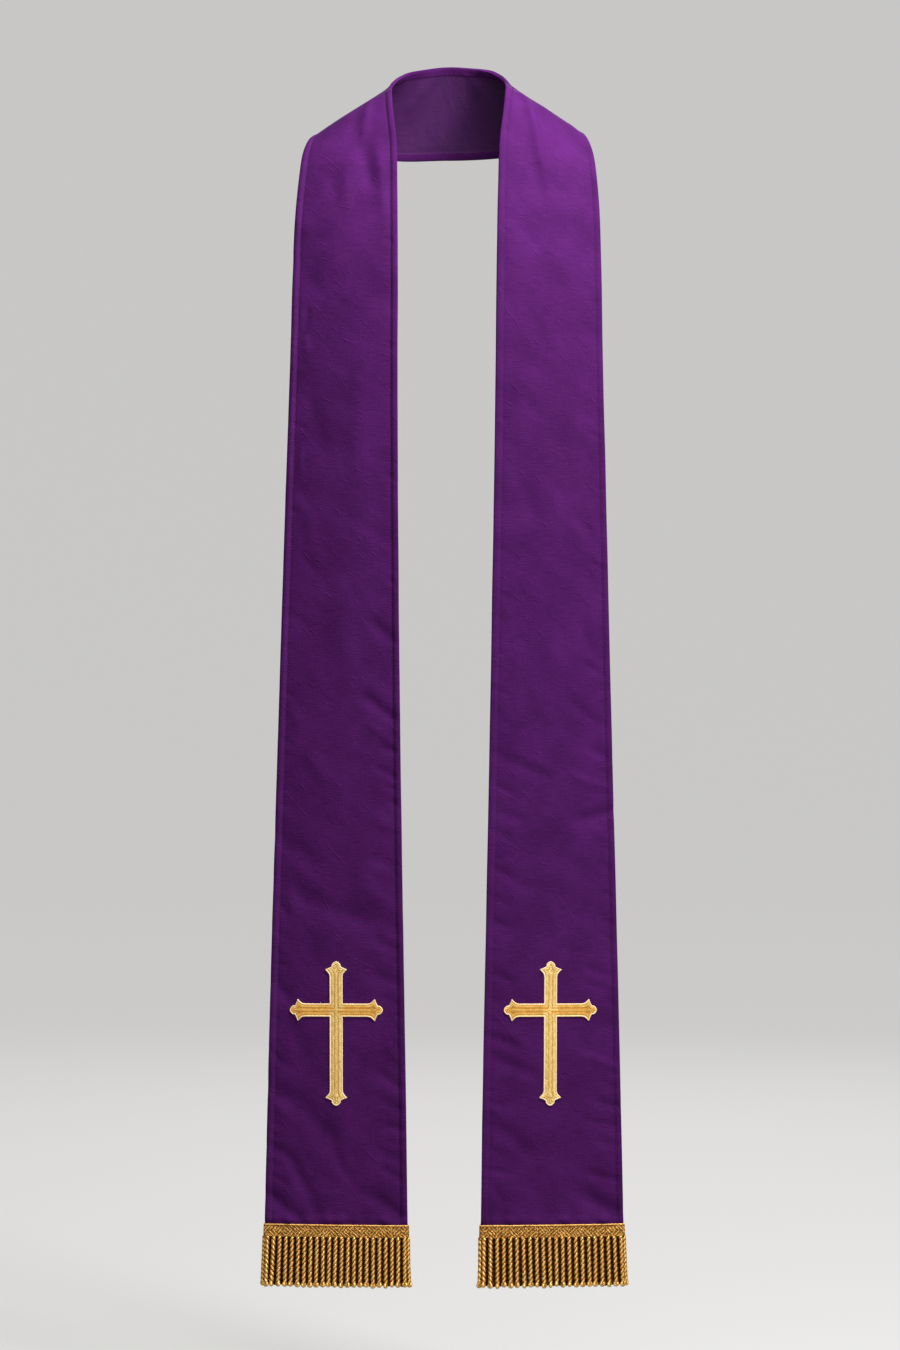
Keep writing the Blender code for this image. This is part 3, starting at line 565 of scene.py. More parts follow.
def tube(path, radius, sides, facing):
    """A closed tube along a path, as a grid whose map holds mm along it and the share of the way round, from
    where it faces."""
    along = unit(np.gradient(path, axis=0))
    second = unit(np.cross(along, facing))
    first = np.cross(second, along)
    turn = np.linspace(0, 2 * math.pi, sides + 1)
    radius = np.broadcast_to(radius, len(path))[:, None, None]
    spokes = first[:, None] * np.cos(turn)[None, :, None] + second[:, None] * np.sin(turn)[None, :, None]
    points = path[:, None] + spokes * radius
    points[:, -1] = points[:, 0]
    distance = distances_along(path) / MM
    first_end = np.repeat(path[:1, None], sides + 1, axis=1)
    last_end = np.repeat(path[-1:, None], sides + 1, axis=1)
    points = np.concatenate([first_end, points, last_end])
    distance = np.concatenate([distance[:1], distance, distance[-1:]])
    uv = np.stack(np.broadcast_arrays(distance[:, None], turn / (2 * math.pi)), axis=-1)
    return Grid(points, uv, 0)


# ---- materials --------------------------------------------------------------------------------------------

def add_node(tree, kind, inputs=None, **settings):
    """A shader node with its settings, and its sockets linked or set."""
    made = tree.nodes.new(kind)
    for name, value in settings.items():
        setattr(made, name, value)
    for name, value in (inputs or {}).items():
        if isinstance(value, bpy.types.NodeSocket):
            tree.links.new(value, made.inputs[name])
        else:
            made.inputs[name].default_value = value
    return made


def math_node(tree, operation, first, second=0.0, third=0.0):
    return add_node(tree, "ShaderNodeMath", {0: first, 1: second, 2: third}, operation=operation).outputs[0]


def distance_from(tree, socket, place):
    """How far a socket's number is from place, either way."""
    return math_node(tree, "ABSOLUTE", math_node(tree, "SUBTRACT", socket, place))


def slanted(tree, u, v, slope):
    """A coordinate along threads that lean by slope."""
    return math_node(tree, "MULTIPLY_ADD", v, slope, u)


def add_up(tree, *terms):
    """The sum of socket * factor over the terms."""
    total = 0.0
    for socket, factor in terms:
        total = math_node(tree, "MULTIPLY_ADD", socket, factor, total)
    return total


def wave(tree, coordinate, pitch, wobble=None, wobble_size=0.0):
    """A sine of a coordinate in mm, from -1 to 1."""
    if wobble is not None:
        coordinate = math_node(tree, "MULTIPLY_ADD", wobble, wobble_size, coordinate)
    return math_node(tree, "SINE", math_node(tree, "MULTIPLY", coordinate, 2 * math.pi / pitch))


def noise(tree, vector, size, detail=2.0, turn=0.0, offset=(0.0, 0.0, 0.0)):
    """Noise about 0.5 with grains of size mm along and across, after a turn in degrees."""
    turned = add_node(tree, "ShaderNodeMapping", {
        "Vector": vector,
        "Location": offset,
        "Rotation": (0.0, 0.0, math.radians(turn)),
    }, vector_type="POINT")
    scaled = add_node(tree, "ShaderNodeVectorMath", {
        0: turned.outputs[0],
        1: (1 / size[0], 1 / size[1], 1.0),
    }, operation="MULTIPLY")
    return add_node(tree, "ShaderNodeTexNoise", {
        "Vector": scaled.outputs[0],
        "Scale": 1.0,
        "Detail": detail,
        "Roughness": 0.5,
    }).outputs[0]


def ramp(tree, value, low, high, to_low=0.0, to_high=1.0):
    """value from low to high, carried smoothly to to_low to to_high."""
    return add_node(tree, "ShaderNodeMapRange", {
        "Value": value,
        "From Min": low,
        "From Max": high,
        "To Min": to_low,
        "To Max": to_high,
    }, interpolation_type="SMOOTHSTEP").outputs[0]


def mix_colours(tree, share, first, second):
    """first where share is 0, second where it is 1."""
    mixer = add_node(tree, "ShaderNodeMix", {0: share, 6: first, 7: second}, data_type="RGBA")
    return mixer.outputs[2]


def mix_numbers(tree, share, first, second):
    """The same for two numbers."""
    return add_node(tree, "ShaderNodeMix", {0: share, 2: first, 3: second}, data_type="FLOAT").outputs[0]


def new_material(name, uv_name, **sockets):
    """A material and its tree, with the map's coordinates as a vector and two numbers."""
    material = bpy.data.materials.new(name)
    material.use_nodes = True
    tree = material.node_tree
    shader = tree.nodes["Principled BSDF"]
    for socket, value in sockets.items():
        shader.inputs[socket.replace("_", " ")].default_value = value
    vector = add_node(tree, "ShaderNodeUVMap", uv_map=uv_name).outputs[0]
    parts = add_node(tree, "ShaderNodeSeparateXYZ", {0: vector})
    return material, tree, shader, vector, parts.outputs[0], parts.outputs[1]


def set_bump(tree, shader, height_in_mm):
    bump = add_node(tree, "ShaderNodeBump", {"Height": height_in_mm, "Distance": MM, "Strength": 1.0})
    tree.links.new(bump.outputs[0], shader.inputs["Normal"])


def rgba(red, green, blue):
    return (red, green, blue, 1.0)


def crease_lines(tree, u, v, slant, spacing, wander, seed):
    """A few fine short creases, 1 along their middles, at a slant in degrees from the level."""
    c, s = math.cos(math.radians(slant)), math.sin(math.radians(slant))
    off_line = add_up(tree, (u, s / spacing), (v, -c / spacing), (wander, 9.0 / spacing))
    along = add_up(tree, (u, c / 13), (v, s / 13))
    lane = math_node(tree, "FLOOR", off_line)
    chance = add_node(tree, "ShaderNodeTexWhiteNoise", {
        "W": math_node(tree, "ADD", lane, seed),
    }, noise_dimensions="1D").outputs["Value"]
    middle = math_node(tree, "MULTIPLY_ADD", chance, 0.7, 0.15)
    from_middle = distance_from(tree, math_node(tree, "SUBTRACT", off_line, lane), middle)
    distance = math_node(tree, "MULTIPLY", from_middle, spacing)
    line = ramp(tree, distance, 0.1, 1.1, 1.0, 0.0)
    apart = math_node(tree, "MULTIPLY", lane, 7.31)
    lengthwise = add_node(tree, "ShaderNodeCombineXYZ", {0: along, 1: apart, 2: seed})
    presence = add_node(tree, "ShaderNodeTexNoise", {
        "Vector": lengthwise.outputs[0],
        "Scale": 1.0,
        "Detail": 0.0,
    })
    return math_node(tree, "MULTIPLY", line, ramp(tree, presence.outputs[0], 0.58, 0.74))


def cloth_material():
    """Plain weave with slubs in both directions, faint mottling, and fine short creases, most of which run
    down to the right."""
    material, tree, shader, vector, u, v = new_material(
        "purple_cloth", "strip",
        Sheen_Weight=0.03, Sheen_Roughness=0.4, Sheen_Tint=rgba(0.5, 0.15, 0.8), Specular_IOR_Level=0.04,
    )
    wander = noise(tree, vector, (9.0, 9.0))
    warp = wave(tree, u, 0.62, wander, 1.2)
    weft = wave(tree, v, 0.66, wander, 1.2)
    weave = math_node(tree, "MULTIPLY", warp, weft)
    weft_slub = noise(tree, vector, (15.0, 0.8))
    warp_slub = noise(tree, vector, (0.9, 26.0))
    grain = noise(tree, vector, (1.1, 0.9))
    mottle = noise(tree, vector, (46.0, 34.0), 3.0, turn=35)
    bend = noise(tree, vector, (40.0, 40.0), 1.0, offset=(12.0, 3.0, 0.0))
    crease = crease_lines(tree, u, v, -50, 14.0, bend, 3.0)
    second_crease = crease_lines(tree, u, v, -26, 19.0, bend, 40.0)
    cross_crease = crease_lines(tree, u, v, 38, 29.0, bend, 80.0)
    rumple = noise(tree, vector, (30.0, 11.0), turn=50)
    height = add_up(
        tree, (weave, 0.035), (weft_slub, 0.32), (warp_slub, 0.12), (grain, 0.12),
        (crease, 0.30), (second_crease, 0.26), (cross_crease, 0.20), (rumple, 0.5),
    )
    set_bump(tree, shader, height)
    # painted highlight: the creases are also painted a little lighter along their lines
    shade = add_up(
        tree, (weft_slub, 1.0), (warp_slub, 0.35), (mottle, 0.9), (crease, 0.09), (second_crease, 0.08),
        (weave, 0.05),
    )
    shade = ramp(tree, shade, 0.68, 1.62)
    colour = mix_colours(tree, shade, rgba(0.039, 0.0045, 0.055), rgba(0.069, 0.0094, 0.097))
    tree.links.new(colour, shader.inputs["Base Color"])
    tree.links.new(ramp(tree, grain, 0.2, 0.8, 0.9, 0.74), shader.inputs["Roughness"])
    return material


def lining_material():
    """Smooth satin lining, inside."""
    material, tree, shader, vector, _, _ = new_material("purple_lining", "strip", Specular_IOR_Level=0.2)
    streak = noise(tree, vector, (0.5, 30.0))
    ripple = noise(tree, vector, (24.0, 12.0), turn=20)
    set_bump(tree, shader, add_up(tree, (streak, 0.08), (ripple, 1.0)))
    shade = ramp(tree, streak, 0.3, 0.7)
    colour = mix_colours(tree, shade, rgba(0.037, 0.0052, 0.054), rgba(0.050, 0.0084, 0.070))
    tree.links.new(colour, shader.inputs["Base Color"])
    tree.links.new(ramp(tree, ripple, 0.3, 0.7, 0.42, 0.55), shader.inputs["Roughness"])
    return material


def thread_material():
    """The purple thread of the topstitching, two plies twisted together."""
    material, tree, shader, _, u, v = new_material(
        "purple_thread", "thread", Specular_IOR_Level=0.2, Roughness=0.55,
    )
    twist = wave(tree, slanted(tree, u, v, 0.8), 0.8)
    set_bump(tree, shader, add_up(tree, (twist, 0.05)))
    shade = ramp(tree, twist, -1.0, 1.0)
    colour = mix_colours(tree, shade, rgba(0.028, 0.0040, 0.042), rgba(0.050, 0.0080, 0.070))
    tree.links.new(colour, shader.inputs["Base Color"])
    return material


def satin_stitch_material(name, dull, bright, pale):
    """Gold satin stitch: threads side by side over padding, a paler cord round it, and dotted seams beside
    the rib down the middle of each arm."""
    material, tree, shader, vector, u, v = new_material(
        name, "stitch", Metallic=0.2, Specular_IOR_Level=0.4, Specular_Tint=rgba(1.0, 0.76, 0.40),
    )
    wander = noise(tree, vector, (3.0, 0.6))
    threads = wave(tree, slanted(tree, u, v, 1.1), 0.62, wander, 0.5)
    tone = noise(tree, vector, (5.0, 0.5), offset=(31.0, 3.0, 0.0))
    cord = ramp(tree, v, -0.16, -0.02, 1.0, 0.0)
    seam = ramp(tree, distance_from(tree, v, SEAM_SHARE), 0.03, 0.17, 1.0, 0.0)
    gaps = ramp(tree, wave(tree, u, 1.9, wander, 0.8), -0.6, 0.6, 0.35, 1.0)
    dots = math_node(tree, "MULTIPLY", seam, gaps)
    set_bump(tree, shader, add_up(tree, (threads, 0.045), (tone, 0.10), (dots, -0.08)))
    # painted shade: the threads' wave makes the gaps between the threads darker
    shade = add_up(tree, (threads, 0.12), (tone, 0.9), (dots, -0.48))
    shade = ramp(tree, shade, 0.0, 0.9)
    stitched = mix_colours(tree, shade, dull, bright)
    tree.links.new(mix_colours(tree, cord, stitched, pale), shader.inputs["Base Color"])
    tree.links.new(ramp(tree, threads, -1.0, 1.0, 0.5, 0.3), shader.inputs["Roughness"])
    return material


def braid_material():
    """Gold gimp of the braid: fine threads wound at a slant, in lighter and darker patches, and a bright cord
    along its top."""
    material, tree, shader, vector, u, v = new_material(
        "gold_braid", "braid", Metallic=0.3, Specular_IOR_Level=0.5, Specular_Tint=rgba(1.0, 0.72, 0.34),
    )
    wander = noise(tree, vector, (2.5, 2.0))
    threads = wave(tree, slanted(tree, u, v, 0.7), 0.9, wander, 1.6)
    strokes = wave(tree, slanted(tree, u, v, 1.1), 4.4, wander, 5.0)
    other_strokes = wave(tree, slanted(tree, u, v, -0.9), 4.0, wander, 5.0)
    blotches = noise(tree, vector, (1.6, 3.2), turn=-40)
    patches = noise(tree, vector, (11.0, 8.0), 1.0, offset=(3.0, 17.0, 0.0))
    either = ramp(tree, patches, 0.42, 0.58)
    tone = mix_numbers(tree, either, strokes, other_strokes)
    cord = ramp(tree, v, 0.8, 1.5, 1.0, 0.0)
    # painted shade: a darker line in the dip just below the cord
    groove = ramp(tree, distance_from(tree, v, 2.0), 0.2, 0.9, 1.0, 0.0)
    foot = ramp(tree, v, 12.4, 13.4)
    set_bump(tree, shader, add_up(tree, (threads, 0.05), (tone, 0.14), (blotches, 0.3)))
    shade = add_up(
        tree, (threads, 0.06), (tone, 0.36), (blotches, 1.5), (patches, 0.4),
        (cord, 0.6), (groove, -0.4), (foot, 0.3),
    )
    shade = ramp(tree, shade, 0.6, 1.65)
    colour = mix_colours(tree, shade, rgba(0.14, 0.042, 0.004), rgba(1.0, 0.54, 0.13))
    tree.links.new(colour, shader.inputs["Base Color"])
    tree.links.new(ramp(tree, threads, -1.0, 1.0, 0.52, 0.34), shader.inputs["Roughness"])
    return material


def bullion_material(name, dull, bright, roughness, gloss):
    """Gold bullion: each ply is wound from fine bright threads, with painted shade where the plies meet and a
    painted highlight at the loop of the tip."""
    material, tree, shader, vector, u, v = new_material(
        name, "ply",
        Metallic=0.6, Roughness=roughness, Specular_IOR_Level=gloss, Specular_Tint=rgba(1.0, 0.7, 0.34),
    )
    threads = wave(tree, slanted(tree, u, v, 2.4), 0.8)
    tone = noise(tree, vector, (6.0, 0.4))
    length_tone = noise(tree, vector, (50.0, 9.0), 1.0)
    # painted shade: each ply is darkened on its inner side, in the crevice where it meets the other ply
    out_of_crevice_shade = ramp(tree, distance_from(tree, v, 0.5), 0.2, 0.48)
    # painted highlight: the loop at the tip of each strand is made brighter
    along_strand = math_node(tree, "FRACT", math_node(tree, "DIVIDE", u, STRAND_MAP))
    from_tip = math_node(tree, "MULTIPLY", distance_from(tree, along_strand, 0.5), STRAND_MAP)
    tip = ramp(tree, from_tip, 2.5, 6.0, 1.0, 0.0)
    set_bump(tree, shader, add_up(tree, (threads, 0.07), (tone, 0.08)))
    shade = add_up(tree, (threads, 0.12), (tone, 0.5), (length_tone, 0.7), (out_of_crevice_shade, 1.0), (tip, 0.5))
    shade = ramp(tree, shade, 0.75, 1.6)
    tree.links.new(mix_colours(tree, shade, dull, bright), shader.inputs["Base Color"])
    return material


# ---- the cloth --------------------------------------------------------------------------------------------

MAP_APART = 0.4               # metres on the map from the middle of it to the middle of either half
STITCH_PITCH = 3.3 * MM
STITCH_LENGTH = 2.7 * MM
STITCH_RADIUS = 0.27 * MM
# A stitch's height above the cloth in mm, at shares of its length.
STITCH_RISE = ((0.0, -0.35), (0.12, 0.05), (0.3, 0.22), (0.5, 0.27), (0.7, 0.22), (0.88, 0.05), (1.0, -0.35))


def roll_off(inset):
    """How far a rolled edge takes either side of the cloth back towards its middle."""
    roll = np.clip(1 - inset / ROLL_WIDTH, 0.0, 1.0)
    return (1 - np.sqrt(1 - roll ** 2)) * WALL / 2


def edge_lift(s, inset, stitching, height):
    """Lift of the cloth's face near an edge: a rolled edge, a soft bead that flattens out over the shoulder
    and at the braid, and the groove of the stitching."""
    off_the_braid = smooth_step((BRAID_TOP + 1.0 * MM - s) / (6.0 * MM))
    off_the_shoulder = 1 - BEAD_CALM * bell(s - SHOULDER_AT, BEAD_CALM_HALF_WIDTH)
    bead = height * smooth_step((stitching + 0.5 * MM - inset) / (5.0 * MM))
    groove = 0.3 * MM * bell(inset - stitching, 0.8 * MM)
    return off_the_braid * off_the_shoulder * bead - roll_off(inset) - groove


def lining_lift(inset):
    """The same for the inner side, where the face cloth is turned in over the lining."""
    return roll_off(inset) + 0.3 * MM * smooth_step((inset - TURN_IN + 0.3 * MM) / (0.6 * MM))


def columns_across(width, insets, count):
    """Distances across the cloth from edge to edge, a row for each width: at insets in mm from both edges,
    with count more evenly between them."""
    insets = np.array(insets) * MM
    share = np.linspace(0, 1, count + 2)[1:-1]
    last = insets[-1]
    middle = last + (width[:, None] - 2 * last) * share
    left = np.broadcast_to(insets, (len(width), len(insets)))
    return np.concatenate([left, middle, width[:, None] - left[:, ::-1]], axis=1)


def strip_map(side, s, a, width):
    """The cloth's own coordinates in mm: to the right as seen from the front, and up. The halves are far
    apart on the map, so their weaves differ."""
    u = side * (a - width / 2) + side * MAP_APART
    return np.stack(np.broadcast_arrays(u, -s), axis=-1) / MM


def make_cloth(name, side, materials):
    """One half of the stole: a thin closed shell with rolled, stitched edges, folds and a lining."""
    count = round(LENGTH / ROW_STEP)
    seam_rows = np.array([-1.0, 0.5, 1.2]) * MM
    s = np.concatenate([seam_rows, np.linspace(ROW_STEP, LENGTH, count)])[:, None]
    width = width_at(s[:, 0])
    face = columns_across(width, EDGE_INSETS, MIDDLE_COLUMNS)
    lining = columns_across(width, LINING_INSETS, LINING_COLUMNS)
    width = width[:, None]
    seam = -0.6 * MM * bell(np.maximum(s, 0.0), 1.0 * MM)
    by_neck, by_shoulder = EDGE_BEADS[side, NECK_EDGE], EDGE_BEADS[side, SHOULDER_EDGE]
    stitching = np.where(face < width / 2, by_neck.inset, by_shoulder.inset)
    height = np.where(face < width / 2, by_neck.height, by_shoulder.height)
    face_lifts = WALL / 2 + edge_lift(s, np.minimum(face, width - face), stitching, height) + seam
    lining_lifts = -WALL / 2 + lining_lift(np.minimum(lining, width - lining))
    outer = surface(side, s, face, face_lifts)
    inner = surface(side, s, lining, lining_lifts)[:, ::-1]
    points = np.concatenate([outer, inner, outer[:, :1]], axis=1)
    across = np.concatenate([face, lining[:, ::-1], face[:, :1]], axis=1)
    turned_in = len(LINING_INSETS) - 2    # faces of the turned-in face cloth beside each edge
    lined = np.zeros(points.shape[1] - 1, int)
    lined[face.shape[1] + turned_in:-(turned_in + 1)] = 1
    grid = Grid(points, strip_map(side, s, across, width), lined[None, :])
    return make_piece(name, [grid], "strip", materials)


def make_topstitch(name, side, material):
    """The rows of stitches along both edges, each stitch a short thread that dips into the cloth at its
    ends."""
    steps, rise = np.array(STITCH_RISE).T
    starts = np.arange(4 * MM, BRAID_TOP - STITCH_PITCH, STITCH_PITCH)
    grids = []
    for edge in (NECK_EDGE, SHOULDER_EDGE):
        s = starts[:, None] + steps * STITCH_LENGTH
        width = width_at(s)
        bead = EDGE_BEADS[side, edge]
        inset = np.full(s.shape, bead.inset)
        a = inset if edge == NECK_EDGE else width - inset
        lift = WALL / 2 + edge_lift(s, inset, bead.inset, bead.height) + rise * MM
        paths = surface(side, s, a, lift)
        facings = outward(s, a) * (side, 1, 1)
        grids += [tube(path, STITCH_RADIUS, 5, facing) for path, facing in zip(paths, facings)]
    return make_piece(name, grids, "thread", [material])


# ---- the crosses ------------------------------------------------------------------------------------------

# One side of an arm's end, as curves in mm from the tip: back along the arm and out from its axis, with the
# places on the axis that the relief of the curve's ends runs to.
EndCurve = namedtuple("EndCurve", "start control end axis_start axis_end")
ARM_END = (
    EndCurve((0.0, 0.0), (0.3, 2.4), (2.2, 3.9), 4.8, 5.4),
    EndCurve((2.2, 3.9), (4.0, 5.6), (5.5, 4.9), 5.4, 7.6),
    EndCurve((5.5, 4.9), (7.3, 7.7), (8.6, 11.7), 7.6, 10.4),
    EndCurve((8.6, 11.7), (9.4, 12.4), (9.9, 11.4), 10.4, 11.2),
    EndCurve((9.9, 11.4), (12.3, 8.9), (14.0, 7.9), 11.2, 14.2),
    EndCurve((14.0, 7.9), (15.6, 7.3), (18.5, 7.25), 14.2, 18.5),
)
OUTLINE_STEP = 0.8

# The relief of the stitching in mm: the cord at the outline, by its distance in from the edge, and then the
# padded column and the rib, by their share of the way from the cord to the axis.
CORD_RINGS = ((0.0, 0.5), (0.15, 0.95), (0.4, 1.3), (0.75, 1.48), (1.1, 1.35), (1.35, 1.12), (1.5, 1.0))
COLUMN_RINGS = (
    (0.10, 1.14), (0.22, 1.36), (0.34, 1.48), (0.46, 1.43), (0.56, 1.30), (0.64, 1.20), (0.74, 1.30),
    (0.86, 1.43), (1.0, 1.48),
)
SEAM_SHARE = 0.64             # where the dotted seam is, as a share of the way from the cord to the axis
CORD_WIDTH = 1.5              # mm
CORD_REACH = 0.75             # the most of the way to the axis that the cord may take
EMBROIDERY_GAP = 0.12 * MM


def curve_points(curve):
    """Points and axis places along one curve, without its last."""
    start, control, end = (np.array(p) for p in (curve.start, curve.control, curve.end))
    length = np.linalg.norm(control - start) + np.linalg.norm(end - control)
    t = np.arange(0, 1, 1 / math.ceil(length / OUTLINE_STEP))[:, None]
    points = (1 - t) ** 2 * start + 2 * t * (1 - t) * control + t ** 2 * end
    axis = curve.axis_start + (curve.axis_end - curve.axis_start) * t
    return np.hstack([points, axis])


def arm_outline(length):
    """One arm's outline from its left corner round its tip to just before its right corner: mm along, mm out,
    and the place on the axis."""
    bar = CROSS_BAR / 2
    back_out_axis = np.vstack([curve_points(curve) for curve in ARM_END])
    end = np.column_stack([length - back_out_axis[:, 0], back_out_axis[:, 1], length - back_out_axis[:, 2]])
    shoulder = length - ARM_END[-1].end[0]
    along = np.linspace(shoulder, bar, math.ceil((shoulder - bar) / OUTLINE_STEP) + 1)
    straight = np.column_stack([along, np.full(len(along), bar), along])
    straight[-1, 2] = 0.0
    half = np.vstack([end, straight])
    mirrored = half[1:-1] * (1, -1, 1)
    return np.vstack([half[::-1], mirrored])


def cross_outline():
    """The cross's outline in mm about its crossing, and the place on an arm's axis that faces each point."""
    outline, axes = [], []
    for quarter, length in ((1, CROSS_UP), (0, CROSS_SIDE), (3, CROSS_DOWN), (2, CROSS_SIDE)):
        c, s = ((1, 0), (0, 1), (-1, 0), (0, -1))[quarter]
        along, out, axis = arm_outline(length).T
        outline.append(np.column_stack([along * c - out * s, along * s + out * c]))
        axes.append(np.column_stack([axis * c, axis * s]))
    return np.vstack(outline), np.vstack(axes)


def cord_mitre(outline, to_axis):
    """How much further in towards the axis a ring has to go, for an even width along a slanting outline."""
    following = np.roll(outline, -1, axis=0) - outline
    normals = unit(np.column_stack([following[:, 1], -following[:, 0]]))
    facing = (np.abs((normals * to_axis).sum(1)) + np.abs((np.roll(normals, 1, axis=0) * to_axis).sum(1))) / 2
    return 1 / np.maximum(facing, 0.55)


def make_cross(name, side, materials):
    """An embroidered cross on its panel: a satin cord round padded columns, with a rib along each axis.
    The first material is the upright's, and the second the side arms'. The upright's paler, yellower colours
    are a painted sheen of its stitches, which run across it."""
    outline, axes = cross_outline()
    span = np.linalg.norm(axes - outline, axis=1)
    to_axis = (axes - outline) / span[:, None]
    cord = np.minimum(CORD_WIDTH * cord_mitre(outline, to_axis), CORD_REACH * span)
    on_arm = np.abs(axes[:, 0]) > np.abs(axes[:, 1])
    layers = [(span, 0.0, 1.0), (np.zeros(len(span)), 0.0, -1.0)]
    for inset, height in CORD_RINGS:
        layers.append((cord * inset / CORD_WIDTH, height, inset / CORD_WIDTH - 1))
    for share, height in COLUMN_RINGS:
        layers.append((cord + (span - cord) * share, height, share))
    run = distances_along(np.vstack([outline, outline[:1]]))
    centre = BRAID_TOP - CROSS_ABOVE_BRAID
    rows, maps = [], []
    for inset, height, zone in layers:
        flat = outline + to_axis * inset[:, None]
        flat = np.vstack([flat, flat[:1]])
        s = centre - flat[:, 1] * MM
        a = width_at(s) / 2 - CROSS_INWARD[side] + (CROSS_LEAN * flat[:, 1] + side * flat[:, 0]) * MM
        rows.append(surface(side, s, a, WALL / 2 + EMBROIDERY_GAP + height * MM))
        maps.append(np.column_stack([run, np.full(len(run), zone)]))
    grid = Grid(np.array(rows), np.array(maps), on_arm.astype(int)[None, :])
    return make_piece(name, [grid], "stitch", materials, sharp=70)


# ---- the fringes ------------------------------------------------------------------------------------------

CLOTH_REACH = WALL / 2 + BEAD_ROOM + GAP     # from the middle of the cloth to the back of the braid
BEND = math.pi * (CLOTH_REACH + BRAID_THICKNESS / 2)


def drawn_tight(reach, angle):
    """The reach of a point of the braid, which is thinner and drawn tight beside an edge of the cloth."""
    tight = BRAID_EDGE_GAP + BRAID_EDGE_SHARE * (reach - CLOTH_REACH)
    return reach + (tight - reach) * np.abs(np.sin(angle))


def beside_hem(side, run, s, reach):
    """Points beside the hem. run goes along the braid: across the front from 0 to the hem's width, and past
    both ends round the edge and back along the inner side. reach is the distance off the cloth's middle."""
    run, s, reach = np.broadcast_arrays(run, s, reach)
    width = width_at(s)
    past = np.maximum(-run, run - width)
    angle = np.clip(past / BEND, 0.0, 1.0) * math.pi
    a = np.clip(run, 0.0, width)
    home = np.maximum(past - BEND, 0.0)
    a = np.where(run < 0, home, np.where(run > width, width - home, a))
    middle = ruled(s, a)
    out = outward(s, a)
    across = unit(ruled(s, a + MM) - middle) * np.where(run < width / 2, -1.0, 1.0)[..., None]
    section = section_at(s)
    t = a / width
    crown = section[..., 6] * 4 * t * (1 - t)
    direction = np.cos(angle)[..., None] * out + np.sin(angle)[..., None] * across
    return place(side, middle + out * crown[..., None] + direction * drawn_tight(reach, angle)[..., None])


def braid_lay(run):
    """How far the braid's threads slant at each place along it, from one way to the other and back."""
    random = np.random.default_rng(3)
    return sum(np.sin(run / MM / random.uniform(4, 14) + random.uniform(0, 6)) for _ in range(5)) / 2.2


def braid_relief(run, down):
    """Thickness of the braid in metres: slanting gimp threads between a fine cord and the lower edge."""
    slant = np.clip(1.6 * braid_lay(run), -1.0, 1.0)
    down, run = down / MM, run / MM
    height = BRAID_HEIGHT / MM
    threads = np.sin(2 * math.pi * (run + slant * (down - height / 2) * 1.1) / 2.9)
    cord_width = 1.5
    on_cord = np.sqrt(np.clip(1 - ((down - cord_width / 2) / (cord_width / 2)) ** 2, 0.0, 1.0))
    on_cord = on_cord * (1 + 0.2 * np.sin(2 * math.pi * (run / 1.4 + down * 0.4)))
    from_edge = np.minimum(down - cord_width, height - down)
    field = smooth_step(from_edge / 0.7)
    foot = smooth_step((height - down) / 0.8)
    return (0.75 + 0.45 * foot + 0.4 * field + 0.24 * threads * field + 0.55 * on_cord) * MM


def make_braid(name, side, material):
    """The braid round the hem: raised gimp over a flat back, closed at its ends."""
    width = float(width_at(LENGTH))
    end = BEND + BRAID_RETURN
    run = np.arange(-end, width + end, 0.42 * MM)[:, None]
    down = np.linspace(0, BRAID_HEIGHT, 37)[None, :]
    face = beside_hem(side, run, BRAID_TOP + down, CLOTH_REACH + braid_relief(run, down))
    back_down = np.array([[BRAID_HEIGHT, BRAID_HEIGHT / 2, 0.0]])
    back = beside_hem(side, run, BRAID_TOP + back_down, CLOTH_REACH)
    points = np.concatenate([face, back, face[:, :1]], axis=1)
    downs = np.concatenate([down, back_down, down[:, :1]], axis=1)
    uv = np.stack(np.broadcast_arrays(run, downs), axis=-1) / MM
    return make_piece(name, [Grid(points, uv, 0)], "braid", [material])


# The bullion strands: one cord each, doubled at the tip and twisted on itself into two plies.
PLY_RADIUS = 1.8 * MM
PLY_OFFSET = 0.52 * MM
PLY_SIDES = 9
TWIST_PITCH = 11.0 * MM
STRAND_STEPS = 58
STRAND_HEAD = 0.5 * MM        # how far a strand reaches up behind the braid's lower edge
HEAD_ROUNDING = 1.4 * MM
BACK_ROW_REACH = -1.9 * MM    # the back row hangs behind the cloth's middle, between the strands in front
LOOP_DROP = 3.0 * MM
LOOP_SPREAD = 1.0 * MM
KNOB = 0.10                   # the ply is thicker by this share at the loop,
KNOB_RINGS = 5.0              # over about this many of its rings each way
BEHIND_THICKER = 1.25         # the strands behind are thicker by this, and close the gaps
BEHIND_SHORTER = 1.6 * MM
RETURN_STRAND_AT = 1.3 * MM   # from the bend of the braid to the first strand on the inner side
STRAND_MAP = 300.0            # millimetres of the map for each strand, which has its tip at their middle


def strand_places(side, width):
    """Where the strands hang: places along the braid, distances off the cloth's middle, and 1 for a strand
    behind the others."""
    count = STRANDS_ACROSS[side]
    pitch = width / count
    reach = CLOTH_REACH + BRAID_THICKNESS / 2
    front = [((k + 0.5) * pitch, reach, 0) for k in range(count)]
    beside = [
        (-BEND / 2, CLOTH_REACH, 0),
        (-BEND - RETURN_STRAND_AT, reach, 1),
        (-BEND - pitch, reach, 1),
    ]
    other_side = [(width - run, off, behind) for run, off, behind in beside]
    back = [(k * pitch, BACK_ROW_REACH, 1) for k in range(2, count - 1)]
    return front + beside + other_side + back


